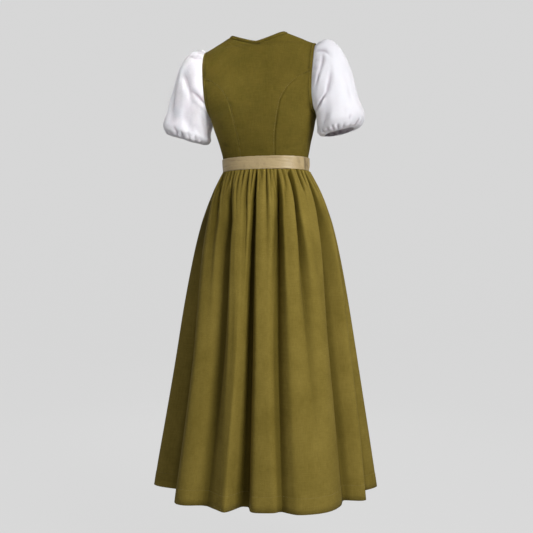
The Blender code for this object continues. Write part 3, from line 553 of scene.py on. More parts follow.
def form_point(angle, z, side):
    """Point of the body form on the +X half."""
    power = body("power", z, side)
    across = np.clip(np.cos(angle), 0.0, 1.0) ** (2 / power)
    return stacked(body("half_width", z) * np.sin(angle) ** (2 / power),
                   body("centre_y", z) + side * body("depth", z, side) * across, z)


def armhole_edge(steps):
    """(x, z) of armhole points; steps count from the shoulder tip, both ways."""
    turn = 2 * math.pi * np.asarray(steps) / ARMHOLE_STEPS
    middle = (SHOULDER_TIP_Z + UNDERARM_Z) / 2
    z = middle + (SHOULDER_TIP_Z - UNDERARM_Z) / 2 * np.cos(turn)
    return stacked(table_value(ARMHOLE_EDGE, "half_width", z), z)


def princess_seam(side):
    """(x, z) of a princess seam from the waist up to its start on the armhole."""
    top = armhole_edge([PRINCESS_STEP[side]])[0]
    heights = np.append(column(PRINCESS[side], "z"), top[1])
    widths = np.append(column(PRINCESS[side], "half_width"), top[0])
    z = np.linspace(WAIST_Z, top[1], PRINCESS_ROWS * FINE + 1)
    return stacked(smooth_curve(heights, widths, z), z)


def neckline(share, side):
    """(x, z) of a neckline from the centre line at 0 to the shoulder seam at 1."""
    if side == BACK:
        return stacked(NECK_HALF_WIDTH * share, NECK_Z[side] * (1 - share ** BACK_NECK_POWER))
    turn, power = share * math.pi / 2, 2 / FRONT_NECK_POWER
    return stacked(NECK_HALF_WIDTH * np.sin(turn) ** power, NECK_Z[side] * np.cos(turn) ** power)


def panel_grid(inner, outer, columns, side):
    """Points between two edges of (x, z) rows, spread evenly round the body form."""
    share = np.linspace(0.0, 1.0, columns + 1)
    z = inner[:, 1:] + (outer[:, 1:] - inner[:, 1:]) * share
    start, end = (form_angle(*edge.T, side)[:, None] for edge in (inner, outer))
    return form_point(start + (end - start) * share, z, side)


def centre_grid(side):
    """Half of a centre panel, and the row at which its neckline starts."""
    armhole = armhole_edge(np.arange(PRINCESS_STEP[side] * FINE - 1, -1, -1) / FINE)
    outer = np.concatenate([princess_seam(side), armhole])
    neck_rows = NECK_ROWS[side] * FINE
    centre_rows = len(outer) - neck_rows
    centre = stacked(0.0, np.linspace(WAIST_Z, NECK_Z[side], centre_rows))
    inner = np.concatenate([centre, neckline(np.arange(1, neck_rows + 1) / neck_rows, side)])
    return panel_grid(inner, outer, CENTRE_COLUMNS, side), centre_rows


def side_grid(side):
    """A side panel: princess seam, side seam and the lower part of the armhole."""
    inner = princess_seam(side)
    seam_rows = SIDE_SEAM_ROWS * FINE
    seam_z = np.linspace(WAIST_Z, UNDERARM_Z, seam_rows + 1)
    seam = stacked(body("half_width", seam_z), seam_z)
    steps = np.linspace(ARMHOLE_STEPS / 2, PRINCESS_STEP[side], len(inner) - seam_rows)
    return panel_grid(inner, np.concatenate([seam, armhole_edge(steps)[1:]]), SIDE_COLUMNS, side)


def skirt_radius(angle, z):
    """Distance of the skirt's cone from the axis at an angle from the centre back."""
    half_width, back, front, power = (table_value(SKIRT_RINGS, name, z)
                                      for name in ("half_width", "back_depth", "front_depth",
                                                   "power"))
    return ring_radius(angle, half_width, np.where(np.cos(angle) > 0, back, front), power)


def waist_shares():
    """Waist angles in degrees, and the share of the waist's length that each one marks."""
    angle = LEFT_SEAM_ANGLE + np.linspace(0.0, 360.0, WAIST_STEPS + 1)
    radius = skirt_radius(np.radians(angle), WAIST_Z)
    x, y = radius * np.sin(np.radians(angle)), radius * np.cos(np.radians(angle))
    length = np.concatenate([[0.0], np.cumsum(np.hypot(np.diff(x), np.diff(y)))])
    return angle, length / length[-1]


WAIST_ANGLES, WAIST_SHARES = waist_shares()


def share_at(waist_angle):
    """Share of the waist at an angle, counted from the left side round the back."""
    lap = np.floor((waist_angle - LEFT_SEAM_ANGLE) / 360.0)
    return np.interp(waist_angle - lap * 360.0, WAIST_ANGLES, WAIST_SHARES) + lap


def angle_at(share):
    """Waist angle in degrees at a share of the waist."""
    lap = np.floor(share)
    return np.interp(share - lap, WAIST_SHARES, WAIST_ANGLES) + lap * 360.0


def across_levels(values, z):
    """Read values stated at the waist, the two fold heights and the hem at height z."""
    levels = (WAIST_Z, FOLD_UPPER_Z, FOLD_MIDDLE_Z, HEM_Z)
    place = sum(z <= level for level in levels[1:-1])
    before, after = values[place], values[place + 1]
    slope_in = after - before if place == 0 else (after - values[place - 1]) / 2
    slope_out = after - before if place == 2 else (values[place + 2] - before) / 2
    t = (levels[place] - z) / (levels[place] - levels[place + 1])
    return hermite(t, before, slope_in, after, slope_out)


# ---- grids and meshes

def unit(vectors):
    """Vectors scaled to a length of 1."""
    return vectors / np.maximum(np.linalg.norm(vectors, axis=-1, keepdims=True), 1e-12)


def outward_normals(grid, closed=False):
    """Normals of a grid of points, turned away from the middle of its rows."""
    if closed:
        around = np.roll(grid, -1, axis=1) - np.roll(grid, 1, axis=1)
    else:
        around = np.gradient(grid, axis=1)
    normals = unit(np.cross(np.gradient(grid, axis=0), around))
    middle = grid.mean(axis=(0, 1)) if closed else BODY_MIDDLE
    away = (grid - middle) * (1, 1, 0)
    return normals if (normals * away).sum() > 0 else -normals


def edge_distances(grid):
    """Distances of every point from the first and last column and the first and last row."""
    found = []
    for axis in (1, 0):
        steps = np.diff(grid, axis=axis, prepend=np.take(grid, [0], axis))
        run = np.cumsum(np.linalg.norm(steps, axis=-1), axis=axis)
        found += [run, np.take(run, [-1], axis) - run]
    return found


def neighbours(values, reach, wraps=False):
    """Copies of a grid's rows, moved by up to reach columns each way, along a new axis."""
    count = values.shape[1]
    places = np.arange(count) + np.arange(-reach, reach + 1)[:, None]
    return values[:, places % count if wraps else np.clip(places, 0, count - 1)]


def hollow_shade_mask(height, reach, depth, wraps=False):
    """How far each point of a relief lies in a hollow, from 0 to 1, as the strength of painted
    shade there.
    """
    across = neighbours(height, reach, wraps).mean(axis=1) - height
    along = neighbours(height.T, reach).mean(axis=1).T - height
    return blend_step(np.maximum(across, along) / depth)


def pull_in(grid, rows=(True, True), columns=(True, True)):
    """Draw the edges of a grid back by half a seam gap: first and last row, then columns."""
    pulled = grid.copy()
    for flags, target, source in ((rows, pulled, grid),
                                  (columns, pulled.swapaxes(0, 1), grid.swapaxes(0, 1))):
        for wanted, edge, inner in zip(flags, (0, -1), (1, -2)):
            if wanted:
                target[edge] += SEAM_GAP / 2 * unit(source[inner] - source[edge])
    return pulled


def grid_faces(rows, columns, closed, parted=None):
    """Faces between the points of a grid; there is none after the parted column."""
    row = np.arange(rows - 1)[:, None] * columns
    col = np.arange(columns if closed else columns - 1)
    if parted is not None:
        col = np.delete(col, parted)
    beside = (col + 1) % columns
    corners = (row + col, row + beside, row + columns + beside, row + columns + col)
    return stacked(*corners).reshape(-1, 4)


def new_mesh(name, points, faces, material):
    """A smooth mesh of one material."""
    mesh = bpy.data.meshes.new(name)
    mesh.from_pydata(points, [], faces)
    mesh.materials.append(material)
    mesh.shade_smooth()
    return mesh


def placed(data):
    """A new object in the scene, named as its data."""
    made = bpy.data.objects.new(data.name, data)
    bpy.context.scene.collection.objects.link(made)
    return made


def worn(mesh):
    """A piece that rides on the dress."""
    piece = placed(mesh)
    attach(piece, "root")
    return piece


def cloth(name, grid, material, painted_shade, threads=None, closed=False, wall=WALL,
          parted=None):
    """A cloth wall over a grid of points. threads is its places on the flat cloth, in metres.

    The fourth argument is painted shade: how far each point lies in a fold, from 0 to 1, by which
    the cloth's colour is darkened there. A closed grid is a tube, thickened inwards. After the
    parted column two halves of the grid meet, and are one cloth where they touch.
    """
    faces = grid_faces(*grid.shape[:2], closed, parted)
    points = grid.reshape(-1, 3)
    middle = faces[len(faces) // 2]
    corner = points[middle]
    facing = np.cross(corner[1] - corner[0], corner[3] - corner[0])
    if facing @ outward_normals(grid, closed).reshape(-1, 3)[middle[0]] < 0:
        faces = faces[:, ::-1]
    mesh = new_mesh(f"{name}_cloth", points.tolist(), faces.tolist(), material)
    if threads is None:
        around, _, down, _ = edge_distances(grid)
        threads = stacked(around - around.mean(axis=1, keepdims=True), down)
    index = np.empty(len(mesh.loops), dtype=np.int32)
    mesh.loops.foreach_get("vertex_index", index)
    places = threads.reshape(-1, 2)[index].astype(np.float32).ravel()
    mesh.uv_layers.new(name="Threads").data.foreach_set("uv", places)
    # painted shade, kept on the mesh for the cloth's material
    tone = mesh.attributes.new(PAINTED_SHADE_ATTRIBUTE, "FLOAT", "POINT")
    tone.data.foreach_set("value", painted_shade.astype(np.float32).ravel())
    if parted is not None:
        welded = bmesh.new()
        welded.from_mesh(mesh)
        bmesh.ops.remove_doubles(welded, verts=welded.verts, dist=1e-6)
        welded.to_mesh(mesh)
        welded.free()
    piece = worn(mesh)
    solidify = piece.modifiers.new("Wall", "SOLIDIFY")
    solidify.thickness = wall
    solidify.offset = -1.0 if closed else 1.0
    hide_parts(name)
    return piece


def stitches(name, path, normals, kind, wall=WALL):
    """Raised thread stitches, each a short spindle, on a wall whose inner face holds a path."""
    path = path + normals * wall
    steps = np.linalg.norm(np.diff(path, axis=0), axis=-1)
    length = np.concatenate([[0.0], np.cumsum(steps)])
    count = max(2, int(length[-1] / kind.pitch))
    starts = (np.arange(count) + (1 - STITCH_FILL) / 2) * length[-1] / count

    def at(places, values):
        return stacked(*(np.interp(places, length, values[:, axis]) for axis in range(3)))

    first, last = at(starts, path), at(starts + STITCH_FILL * length[-1] / count, path)
    up = unit(at(starts, normals))
    aside = np.cross(unit(last - first), up)
    rings, sides = len(STITCH_SHARES), STITCH_SIDES
    turns = 2 * math.pi * np.arange(sides)[:, None] / sides
    points = []
    for share, girth in zip(STITCH_SHARES, STITCH_GIRTHS):
        centre = first + (last - first) * share + up * kind.radius * STITCH_LIFT
        round_it = np.cos(turns) * up[:, None] + np.sin(turns) * aside[:, None]
        points.append(centre[:, None] + kind.radius * girth * round_it)
    points = np.stack(points, axis=1).reshape(-1, 3)
    base = np.arange(count)[:, None, None] * rings * sides
    walls = base + grid_faces(rings, sides, closed=True)
    side = np.arange(sides)
    ends = np.concatenate([base + side[::-1], base + (rings - 1) * sides + side])
    faces = walls.reshape(-1, 4).tolist() + ends.reshape(-1, sides).tolist()
    return worn(new_mesh(name, points.tolist(), faces, kind.thread))


def inset_line(grid, inset, last):
    """A line on a grid at a distance from its first or last column, with the normals along it."""
    distance = edge_distances(grid)[1 if last else 0]
    line = []
    for places, values in zip(distance, np.concatenate([grid, outward_normals(grid)], axis=-1)):
        order = np.argsort(places)
        line.append([np.interp(inset, places[order], row) for row in values[order].T])
    return np.split(np.array(line), 2, axis=1)


def cut_of(name):
    """The row of CUTS for a piece."""
    return next(cut for cut in CUTS if name.startswith(cut.name))


# ---- cloth materials

def node(tree, kind, links=(), **settings):
    """A new shader node, with its settings, input defaults and links from other nodes."""
    made = tree.nodes.new(kind)
    for name, value in settings.items():
        if name in made.inputs:
            made.inputs[name].default_value = value
        else:
            setattr(made, name, value)
    for name, output in dict(links).items():
        tree.links.new(output, made.inputs[name])
    return made


def new_material(name, settings):
    """A material with these settings on its shader, and the shader and its tree."""
    material = bpy.data.materials.new(name)
    material.use_nodes = True
    shader = material.node_tree.nodes["Principled BSDF"]
    for socket, value in settings.items():
        shader.inputs[socket].default_value = value
    return material, shader, material.node_tree


def colour_socket(sockets, name):
    """The colour socket of a mix node that has this name."""
    return next(socket for socket in sockets if socket.name == name and socket.type == "RGBA")


def colour_mix(tree, factor, one, other, **settings):
    """A colour mixed from two; each is a colour or an output, and so is the factor."""
    mix = node(tree, "ShaderNodeMix", data_type="RGBA", **settings)
    for socket, value in ((mix.inputs["Factor"], factor), (colour_socket(mix.inputs, "A"), one),
                          (colour_socket(mix.inputs, "B"), other)):
        if isinstance(value, float):
            socket.default_value = value
        elif isinstance(value, tuple):
            socket.default_value = (*value, 1.0)
        else:
            tree.links.new(value, socket)
    return colour_socket(mix.outputs, "Result")


def noise_value(tree, place, **settings):
    """The value of a noise texture at a place."""
    return node(tree, "ShaderNodeTexNoise", {"Vector": place}, **settings).outputs["Fac"]


CLOTH_GLOW_DEPTH = 0.004
SLUB_WIDTH, SLUB_LENGTH = 0.0028, 0.024
SLUB_STRETCHES = ((1 / SLUB_WIDTH, 1 / SLUB_LENGTH, 1.0), (1 / SLUB_LENGTH, 1 / SLUB_WIDTH, 1.0))
THREAD_SHADE = 0.22  # how much darker the cloth is between its threads
TWIST_TONE = 0.75  # of sewing thread, between its strands
# Colour by which olive cloth is multiplied where it lies in folds: painted shade
OLIVE_PAINTED_FOLD_SHADE = (0.34, 0.325, 0.03)


def woven(name, colour, other_colour, roughness, pitch, slub, sheen=0.0, specular=0.2,
          weave_depth=0.00012, crumple=0.0006, rib=False, painted_fold_shade=OLIVE_PAINTED_FOLD_SHADE, glow=0.0):
    """Woven cloth: raised threads, slubs in both directions, uneven dye, and painted shade in
    folds.

    glow is how much light passes into the cloth and through it. The fold colour is what the cloth's
    colour is multiplied by as far as it lies in a fold: painted shade.
    """
    material, shader, tree = new_material(name, {
        "Roughness": roughness, "Specular IOR Level": specular, "Sheen Weight": sheen,
        "Sheen Roughness": 0.45, "Subsurface Weight": glow,
        "Subsurface Scale": CLOTH_GLOW_DEPTH, "Subsurface Radius": (1.0, 0.88, 0.86)})
    threads = node(tree, "ShaderNodeUVMap", uv_map="Threads").outputs["UV"]
    # Blender's wave texture has 20 / (2 pi) bands to a unit at a scale of 1
    warp, weft = (node(tree, "ShaderNodeTexWave", {"Vector": threads}, bands_direction=way,
                       Scale=2 * math.pi / (20 * pitch)).outputs["Fac"] for way in "XY")
    over = node(tree, "ShaderNodeTexChecker", {"Vector": threads}, Scale=1 / pitch).outputs["Fac"]
    weave = node(tree, "ShaderNodeMix", {"Factor": over, "A": warp, "B": warp if rib else weft},
                 data_type="FLOAT").outputs["Result"]
    slubs = {}
    for way, stretch in enumerate(SLUB_STRETCHES):
        mapped = node(tree, "ShaderNodeMapping", {"Vector": threads}, Scale=stretch)
        slubs[way] = noise_value(tree, mapped.outputs["Vector"], Scale=1.0, Detail=2.0)
    both = node(tree, "ShaderNodeMath", slubs, operation="ADD").outputs[0]

    place = node(tree, "ShaderNodeTexCoord").outputs["Object"]
    dye = noise_value(tree, place, Scale=9.0, Detail=4.0, Roughness=0.6)
    uneven = node(tree, "ShaderNodeMath", {0: both, 2: dye}, operation="MULTIPLY_ADD")
    uneven.inputs[1].default_value = slub
    # one noise mostly lies between 0.25 and 0.75, and the sum of two between 0.7 and 1.3
    limits = {"From Min": 0.25 + slub * 0.7, "From Max": 0.75 + slub * 1.3}
    spread = node(tree, "ShaderNodeMapRange", {"Value": uneven.outputs[0]}, **limits)
    dyed = colour_mix(tree, spread.outputs["Result"], colour, other_colour)
    shaded = colour_mix(tree, THREAD_SHADE, dyed, weave, blend_type="MULTIPLY")
    # painted shade: the colour is darkened towards the fold colour as far as the cloth lies in a
    # fold
    painted_shade = node(tree, "ShaderNodeAttribute", attribute_name=PAINTED_SHADE_ATTRIBUTE).outputs["Fac"]
    with_painted_shade = colour_mix(tree, painted_shade, shaded, painted_fold_shade, blend_type="MULTIPLY")
    tree.links.new(with_painted_shade, shader.inputs["Base Color"])

    crinkle = noise_value(tree, place, Scale=38.0, Detail=3.0, Roughness=0.55)
    normal = {}
    for height, strength, depth in ((crinkle, 0.35, crumple), (both, 0.35, weave_depth * 2),
                                    (weave, 0.5, weave_depth)):
        bump = node(tree, "ShaderNodeBump", {"Height": height, **normal}, Strength=strength,
                    Distance=depth)
        normal = {"Normal": bump.outputs["Normal"]}
    tree.links.new(normal["Normal"], shader.inputs["Normal"])
    return material


def thread_material(name, colour):
    """Twisted sewing thread."""
    material, shader, tree = new_material(name, {"Roughness": 0.6, "Sheen Weight": 0.2})
    place = node(tree, "ShaderNodeTexCoord").outputs["Object"]
    twist = noise_value(tree, place, Scale=900.0, Detail=1.0)
    dark = tuple(TWIST_TONE * part for part in colour)
    tree.links.new(colour_mix(tree, twist, dark, colour), shader.inputs["Base Color"])
    return material


OLIVE = woven("olive_cotton_weave", (0.150, 0.108, 0.012), (0.274, 0.202, 0.039),
              roughness=0.85, pitch=0.0007, slub=0.5)
# The bodice's olive is a darker copy of the skirt's: painted shade, standing for less light on the
# bodice
OLIVE_BODICE_SHADED = woven("olive_bodice_shaded_weave", (0.080, 0.058, 0.004), (0.156, 0.116, 0.017),
                     roughness=0.85, pitch=0.0007, slub=0.5, specular=0.15)
# The satin's fold colour is painted shade in the sash's hollows
SATIN = woven("champagne_satin_weave", (0.396, 0.292, 0.134), (0.468, 0.348, 0.169),
              roughness=0.40, pitch=0.00035, slub=0.2, sheen=0.05, specular=0.9,
              weave_depth=0.00003, crumple=0.0008, rib=True, painted_fold_shade=(0.46, 0.43, 0.34))
# The white cloth's fold colour is painted shade in the sleeves' creases
WHITE = woven("white_cotton_weave", (0.684, 0.672, 0.710), (0.744, 0.731, 0.770), roughness=0.8,
              pitch=0.0005, slub=0.3, sheen=0.05, weave_depth=0.00006, crumple=0.0012,
              painted_fold_shade=(0.66, 0.62, 0.65), glow=0.45)
OLIVE_THREAD = thread_material("olive_thread", (0.235, 0.180, 0.045))
SATIN_THREAD = thread_material("champagne_thread", (0.480, 0.380, 0.230))
WHITE_THREAD = thread_material("white_thread", (0.860, 0.850, 0.880))
BODICE_STITCH = Stitch(OLIVE_THREAD, "olive_cotton", 0.0026, 0.00022)
HEM_STITCH = Stitch(OLIVE_THREAD, "olive_cotton", 0.0032, 0.00024)
SASH_STITCH = Stitch(SATIN_THREAD, "champagne_satin", 0.0024, 0.00018)
ELASTIC_STITCH = Stitch(WHITE_THREAD, "white_cotton", 0.0028, 0.0002)


# ---- bodice

def faced_rim(distance):
    """An edge a little thicker over its facing, with a groove where it is stitched."""
    rise = RIM_RISE * (1 - blend_step((distance - RIM_WIDTH) / RIM_STEP))
    return rise - RIM_GROOVE_DEPTH * bell(distance - RIM_WIDTH, RIM_GROOVE)


def seam_roll(distance):
    """Cloth turning down into a seam."""
    return -SEAM_DIP * bell(distance, SEAM_ROLL)


def puckered_seam(distance, along, seed):
    """Cloth turning down into a seam, with small uneven waves beside it."""
    wave = soft_noise(along / PUCKER_LENGTH, seed * PUCKER_STEP, seed)
    return seam_roll(distance) + PUCKER_DEPTH * bell(distance, PUCKER_REACH) * wave


def edge_relief(distance, along, seed, sewn_rows):
    """A panel's edge: a seam up to a row of the grid, and a faced edge above it."""
    sewn = (np.arange(len(distance)) <= sewn_rows * FINE)[:, None]
    return np.where(sewn, puckered_seam(distance, along, seed), faced_rim(distance))


def bodice_relief(grid, side, seed):
    """Creases and a soft unevenness of a bodice panel, pressed flat under the sash."""
    x, z = grid[..., 0], grid[..., 2]
    height = waves("bodice", x, z, seed) + crease_relief(x, z, BODICE_CREASES[side])
    pressed = blend_step((SASH_TOP_Z + PRESS_HEIGHT - z) / PRESS_HEIGHT)
    return height * (1 - pressed) - SASH_PRESS * pressed


def neck_rim(grid, side):
    """The faced rim along a neckline."""
    edge = neckline(np.linspace(0.0, 1.0, NECK_POINTS), side)
    x, z = np.abs(grid[..., 0]), grid[..., 2]
    near = (z > edge[:, 1].min() - NECK_NEAR) & (x < NECK_HALF_WIDTH + NECK_NEAR)
    gaps = np.linalg.norm(stacked(x, z)[near][:, None] - edge, axis=-1)
    distance = np.ones(near.shape)
    distance[near] = gaps.min(axis=1)
    return faced_rim(distance)


def raised(grid, height, sign=1):
    """A grid moved out along its normals, on its side, and the painted shade of its hollows."""
    painted_shade = hollow_shade_mask(height, HOLLOW_REACH, HOLLOW_DEPTH)
    return (grid + outward_normals(grid) * height[..., None]) * (sign, 1, 1), painted_shade


def back_centre():
    """The back panel, one piece from princess seam to princess seam."""
    half, below_neck = centre_grid(BACK)
    half = pull_in(half, columns=(False, True))
    grid = np.concatenate([half[:, ::-1] * (-1, 1, 1), half], axis=1)
    left, right, up, down = edge_distances(grid)
    height = bodice_relief(grid, BACK, seed=11) + seam_roll(down) + neck_rim(grid, BACK)
    height += edge_relief(np.minimum(left, right), up, 3, sewn_rows=PRINCESS_ROWS)
    grid, painted_shade = raised(grid, height)
    centre = grid[:below_neck, CENTRE_COLUMNS:CENTRE_COLUMNS + 2]
    centre[:] = centre.mean(axis=1, keepdims=True)
    return grid, painted_shade


def front_centre(sign):
    """A centre-front panel, from the closure to its princess seam."""
    grid, neck_row = centre_grid(FRONT)
    grid = pull_in(grid)
    first, last, up, down = edge_distances(grid)
    closed = (np.arange(len(grid)) < neck_row)[:, None]
    height = bodice_relief(grid * (sign, 1, 1), FRONT, seed=21 + sign)
    height += seam_roll(down) + neck_rim(grid, FRONT)
    height += edge_relief(last, up, 4 + sign, PRINCESS_ROWS) + closed * faced_rim(first)
    return raised(grid, height, sign)


def side_panel(side, sign):
    """A side panel, from the princess seam to the side seam and the armhole."""
    grid = pull_in(side_grid(side))
    first, last, up, _ = edge_distances(grid)
    height = bodice_relief(grid * (sign, 1, 1), side, seed=31 + 2 * side + sign)
    height += puckered_seam(first, up, 6 + sign) + edge_relief(last, up, 8 + sign, SIDE_SEAM_ROWS)
    return raised(grid, height, sign)


def panel(name, grid, painted_shade, rows, parted=None):
    """A bodice panel and its stitches: what each row is, its inset, its edge and its reach."""
    piece = cloth(f"bodice_{name}", grid, OLIVE_BODICE_SHADED, painted_shade, parted=parted)
    for row_name, inset, on_last, start, stop in rows:
        path, normals = (line[start:stop] for line in inset_line(grid, inset, on_last))
        stitches(row_name, path, normals, BODICE_STITCH)


def bodice():
    """Seven panels, each with the stitches that lie on it."""
    top = PRINCESS_ROWS * FINE
    armhole = (top + STITCH_MARGIN, -STITCH_MARGIN)
    panel("back_centre", *back_centre(), [
        (f"back_{place}_stitches_{hand}", inset, hand == "left", *rows)
        for place, inset, rows in (("princess", PRINCESS_STITCH_INSET, (0, top)),
                                   ("armhole", RIM_WIDTH, armhole))
        for hand in ("right", "left")], CENTRE_COLUMNS)
    closure_top = centre_grid(FRONT)[1] - TOP_MARGIN
    for hand, sign in HANDS.items():
        panel(f"front_centre_{hand}", *front_centre(sign), [
            (f"front_princess_stitches_{hand}", PRINCESS_STITCH_INSET, True, 0, top),
            (f"front_closure_stitches_{hand}", RIM_WIDTH, False, 0, closure_top),
            (f"front_armhole_stitches_{hand}", RIM_WIDTH, True, *armhole)])
        for place, side in (("back", BACK), ("front", FRONT)):
            panel(f"{place}_side_{hand}", *side_panel(side, sign), [
                (f"{place}_side_armhole_stitches_{hand}", RIM_WIDTH, True,
                 SIDE_SEAM_ROWS * FINE + STITCH_MARGIN, -TOP_MARGIN)])


# ---- sash

def sash_grid():
    """The satin band, its outer end lapped over the inner one at the front, and painted shade in
    its hollows.
    """
    turned = np.linspace(0.0, 360.0 + SASH_LAP, SASH_COLUMNS + 1)
    degrees = SASH_START - turned
    angle = np.radians(degrees)
    back = np.cos(angle) > 0
    climb = blend_step((turned - (360.0 - SASH_RISE)) / SASH_RISE) * (SASH_WALL + SASH_LAP_GAP)
    width = SASH_TOP_Z - SASH_BOTTOM_Z
    rows, reliefs = [], []
    for place in np.linspace(0.0, 1.0, SASH_ROWS + 1):
        level = SASH_BOTTOM_Z + width * place
        from_edge = min(place, 1 - place) * width
        frill = np.cos(degrees * math.tau / SASH_FRILL_DEGREES
                       + waves("sash_frill_shift", degrees))
        relief = (SASH_SWELL * math.sin(math.pi * place) ** SASH_SWELL_POWER
                  + SASH_EDGE_RISE * bell(from_edge - SASH_EDGE, SASH_EDGE_WIDTH)
                  + waves("sash", degrees, place)
                  + SASH_FRILL * math.exp(-place / SASH_FRILL_REACH) * frill
                  + crease_relief(degrees, level, SASH_CREASES, SASH_DEGREE, 1.0, 360.0))
        reliefs.append(np.maximum(relief, SASH_DEEPEST))
        outward = WALL + SASH_CLEARANCE + climb + reliefs[-1]
        depth, power = (np.where(back, body(name, level, BACK), body(name, level, FRONT))
                        for name in ("depth", "power"))
        reach = ring_radius(angle, body("half_width", level) + outward, depth + outward, power)
        rows.append(stacked(-reach * np.sin(angle), body("centre_y", level)
                            + reach * np.cos(angle), level + waves("sash_drop", degrees, place)))
    return np.array(rows), hollow_shade_mask(np.array(reliefs), SASH_HOLLOW_REACH, SASH_HOLLOW_DEPTH)


def sash():
    """The sash, its turned end and the stitches that hold it."""
    grid, painted_shade = sash_grid()
    piece = cloth("sash", grid, SATIN, painted_shade, wall=SASH_WALL)
    path, normals = (line[1:-1] for line in inset_line(grid, SASH_END_INSET, True))
    stitches("sash_end_stitches", path, normals, SASH_STITCH, SASH_WALL)


# ---- sleeves

def armhole_ring():
    """Points round the left armhole and the direction in which the bodice ends at each."""
    steps = np.arange(SLEEVE_COLUMNS) * ARMHOLE_STEPS / SLEEVE_COLUMNS
    turn = 2 * math.pi * steps / ARMHOLE_STEPS
    x, z = armhole_edge(steps).T
    back, front = (form_point(form_angle(x, z, side), z, side) for side in (BACK, FRONT))
    points = np.where((steps <= ARMHOLE_STEPS / 2)[:, None], back, front)
    under = np.clip(-np.cos(turn), 0.0, 1.0) ** 2
    up = AWAY_UNDER * under + AWAY_UP * np.cos(turn)
    return points, unit(stacked(1 - under, AWAY_BACK * np.sin(turn), up))


def sleeve_form(cuff):
    """A left-handed sleeve's smooth outer face, from the armhole to the bottom edge."""
    edge, away = armhole_ring()
    turn = SLEEVE_TURN
    runs = stacked(*(round_curve(column(SLEEVE_RUNS, "turn"), column(SLEEVE_RUNS, name), turn,
                                 360.0) for name in SleeveRun._fields[1:]))
    fullness = (cuff.fullness, cuff.fullness, cuff.lift)
    outwards = stacked(np.cos(np.radians(turn)), np.sin(np.radians(turn)), 0)
    end = (cuff.x, cuff.y, cuff.z) + outwards * (cuff.half_width, cuff.half_depth, 0)
    end[:, 2] += cuff.slope * cuff.half_width * outwards[:, 0]
    end[:, 2] -= cuff.tip * cuff.half_depth * outwards[:, 1]
    run = SLEEVE_RUN[..., None]
    grid = hermite(run, edge + away * SLEEVE_GAP, runs[:, :3] * fullness, end, runs[:, 3:])
    roll = PUFF_ROLL * bell(run - PUFF_ROLL_RUN, PUFF_ROLL_SPAN)
    roll = roll * (PUFF_ROLL_INNER + (1 - PUFF_ROLL_INNER) * (1 + outwards[:, :1]) / 2)
    curl = CUFF_CURL * blend_step((run - CUFF_CURL_RUN) / (1 - CUFF_CURL_RUN))
    return grid + (roll - curl) * outwards


def sleeve_relief(creases, seed):
    """Gathers at both ends of a sleeve, its creases and the softness of the cloth between."""
    turn, run = SLEEVE_TURN, SLEEVE_RUN
    strength = SLEEVE_GATHER_MEAN + waves("sleeve_gather_depth", turn, seed=seed)
    shift = waves("sleeve_gather_shift", turn, seed=seed)
    wave = np.maximum(strength, 0.0) * np.cos(np.radians(turn) * SLEEVE_GATHERS + shift)
    from_tip = np.abs((turn + 180) % 360 - 180)
    over_cap = blend_step((CAP_GATHER_TURN - from_tip) / CAP_GATHER_FADE)
    reach = CAP_GATHER_SPAN * (1 + waves("cap_gather_span", turn, seed=seed))
    cap = CAP_GATHER_DEPTH * over_cap * bell(run - CAP_GATHER_RUN, reach)
    rise = CUFF_GATHER_RUN + waves("cuff_gather_run", turn, seed=seed)
    cuff = CUFF_GATHER_DEPTH * blend_step((run - rise) / CUFF_GATHER_SPAN)
    cuff = cuff * blend_step((1.0 - run) / (1.0 - CUFF_EDGE_RUN))
    height = wave * (cap + cuff) + waves("sleeve", turn, run, seed)
    height += crease_relief(turn, run, creases, SLEEVE_DEGREE, SLEEVE_LENGTH, 360.0)
    height -= ELASTIC_DEPTH * bell(run - ELASTIC_RUN, ELASTIC_SPAN)
    return height * blend_step(run / ARMHOLE_SEAM_RUN)


def sleeves():
    """Puff sleeves, full between the armhole and a gathered bottom edge with elastic in it."""
    cut = cut_of("sleeve")
    around = np.arange(SLEEVE_COLUMNS) / SLEEVE_COLUMNS * cut.width
    down = np.linspace(0.0, cut.length, SLEEVE_ROWS + 1)[:, None]
    row = round(ELASTIC_RUN * SLEEVE_ROWS)
    for cuff in CUFFS:
        form = sleeve_form(cuff)
        relief = sleeve_relief(SLEEVE_CREASES[cuff.hand], cuff.seed)
        grid = form + outward_normals(form, closed=True) * relief[..., None]
        grid = grid * (HANDS[cuff.hand], 1, 1)
        name = f"sleeve_{cuff.hand}"
        # painted shade in the sleeve's hollows
        painted_shade = hollow_shade_mask(relief, SLEEVE_HOLLOW_REACH, SLEEVE_HOLLOW_DEPTH, wraps=True)
        piece = cloth(name, grid, WHITE, painted_shade, stacked(around, down), True)
        ring = np.arange(SLEEVE_COLUMNS + 1) % SLEEVE_COLUMNS
        facing = outward_normals(grid, closed=True)[row, ring]
        path = grid[row, ring]
        stitches(f"{name}_elastic_stitches", path, facing, ELASTIC_STITCH, 0.0)


# ---- skirt

def gathers(share, z):
    """Relief of the waist gathers: round ridges, narrow valleys, uneven in size and length."""
    gather = share * WAIST_GATHERS + waves("gather_shift", share)
    strength = np.maximum(1.0 + waves("gather_depth", share), GATHER_WEAKEST)
    length = GATHER_LENGTH + waves("gather_length", share)
    fade = np.exp(-((WAIST_Z - z) / length) ** GATHER_FADE_POWER)
    ridge = np.abs(np.cos(math.pi * gather)) ** GATHER_ROUNDNESS
    return 2 * GATHER_DEPTH * strength * ridge * fade


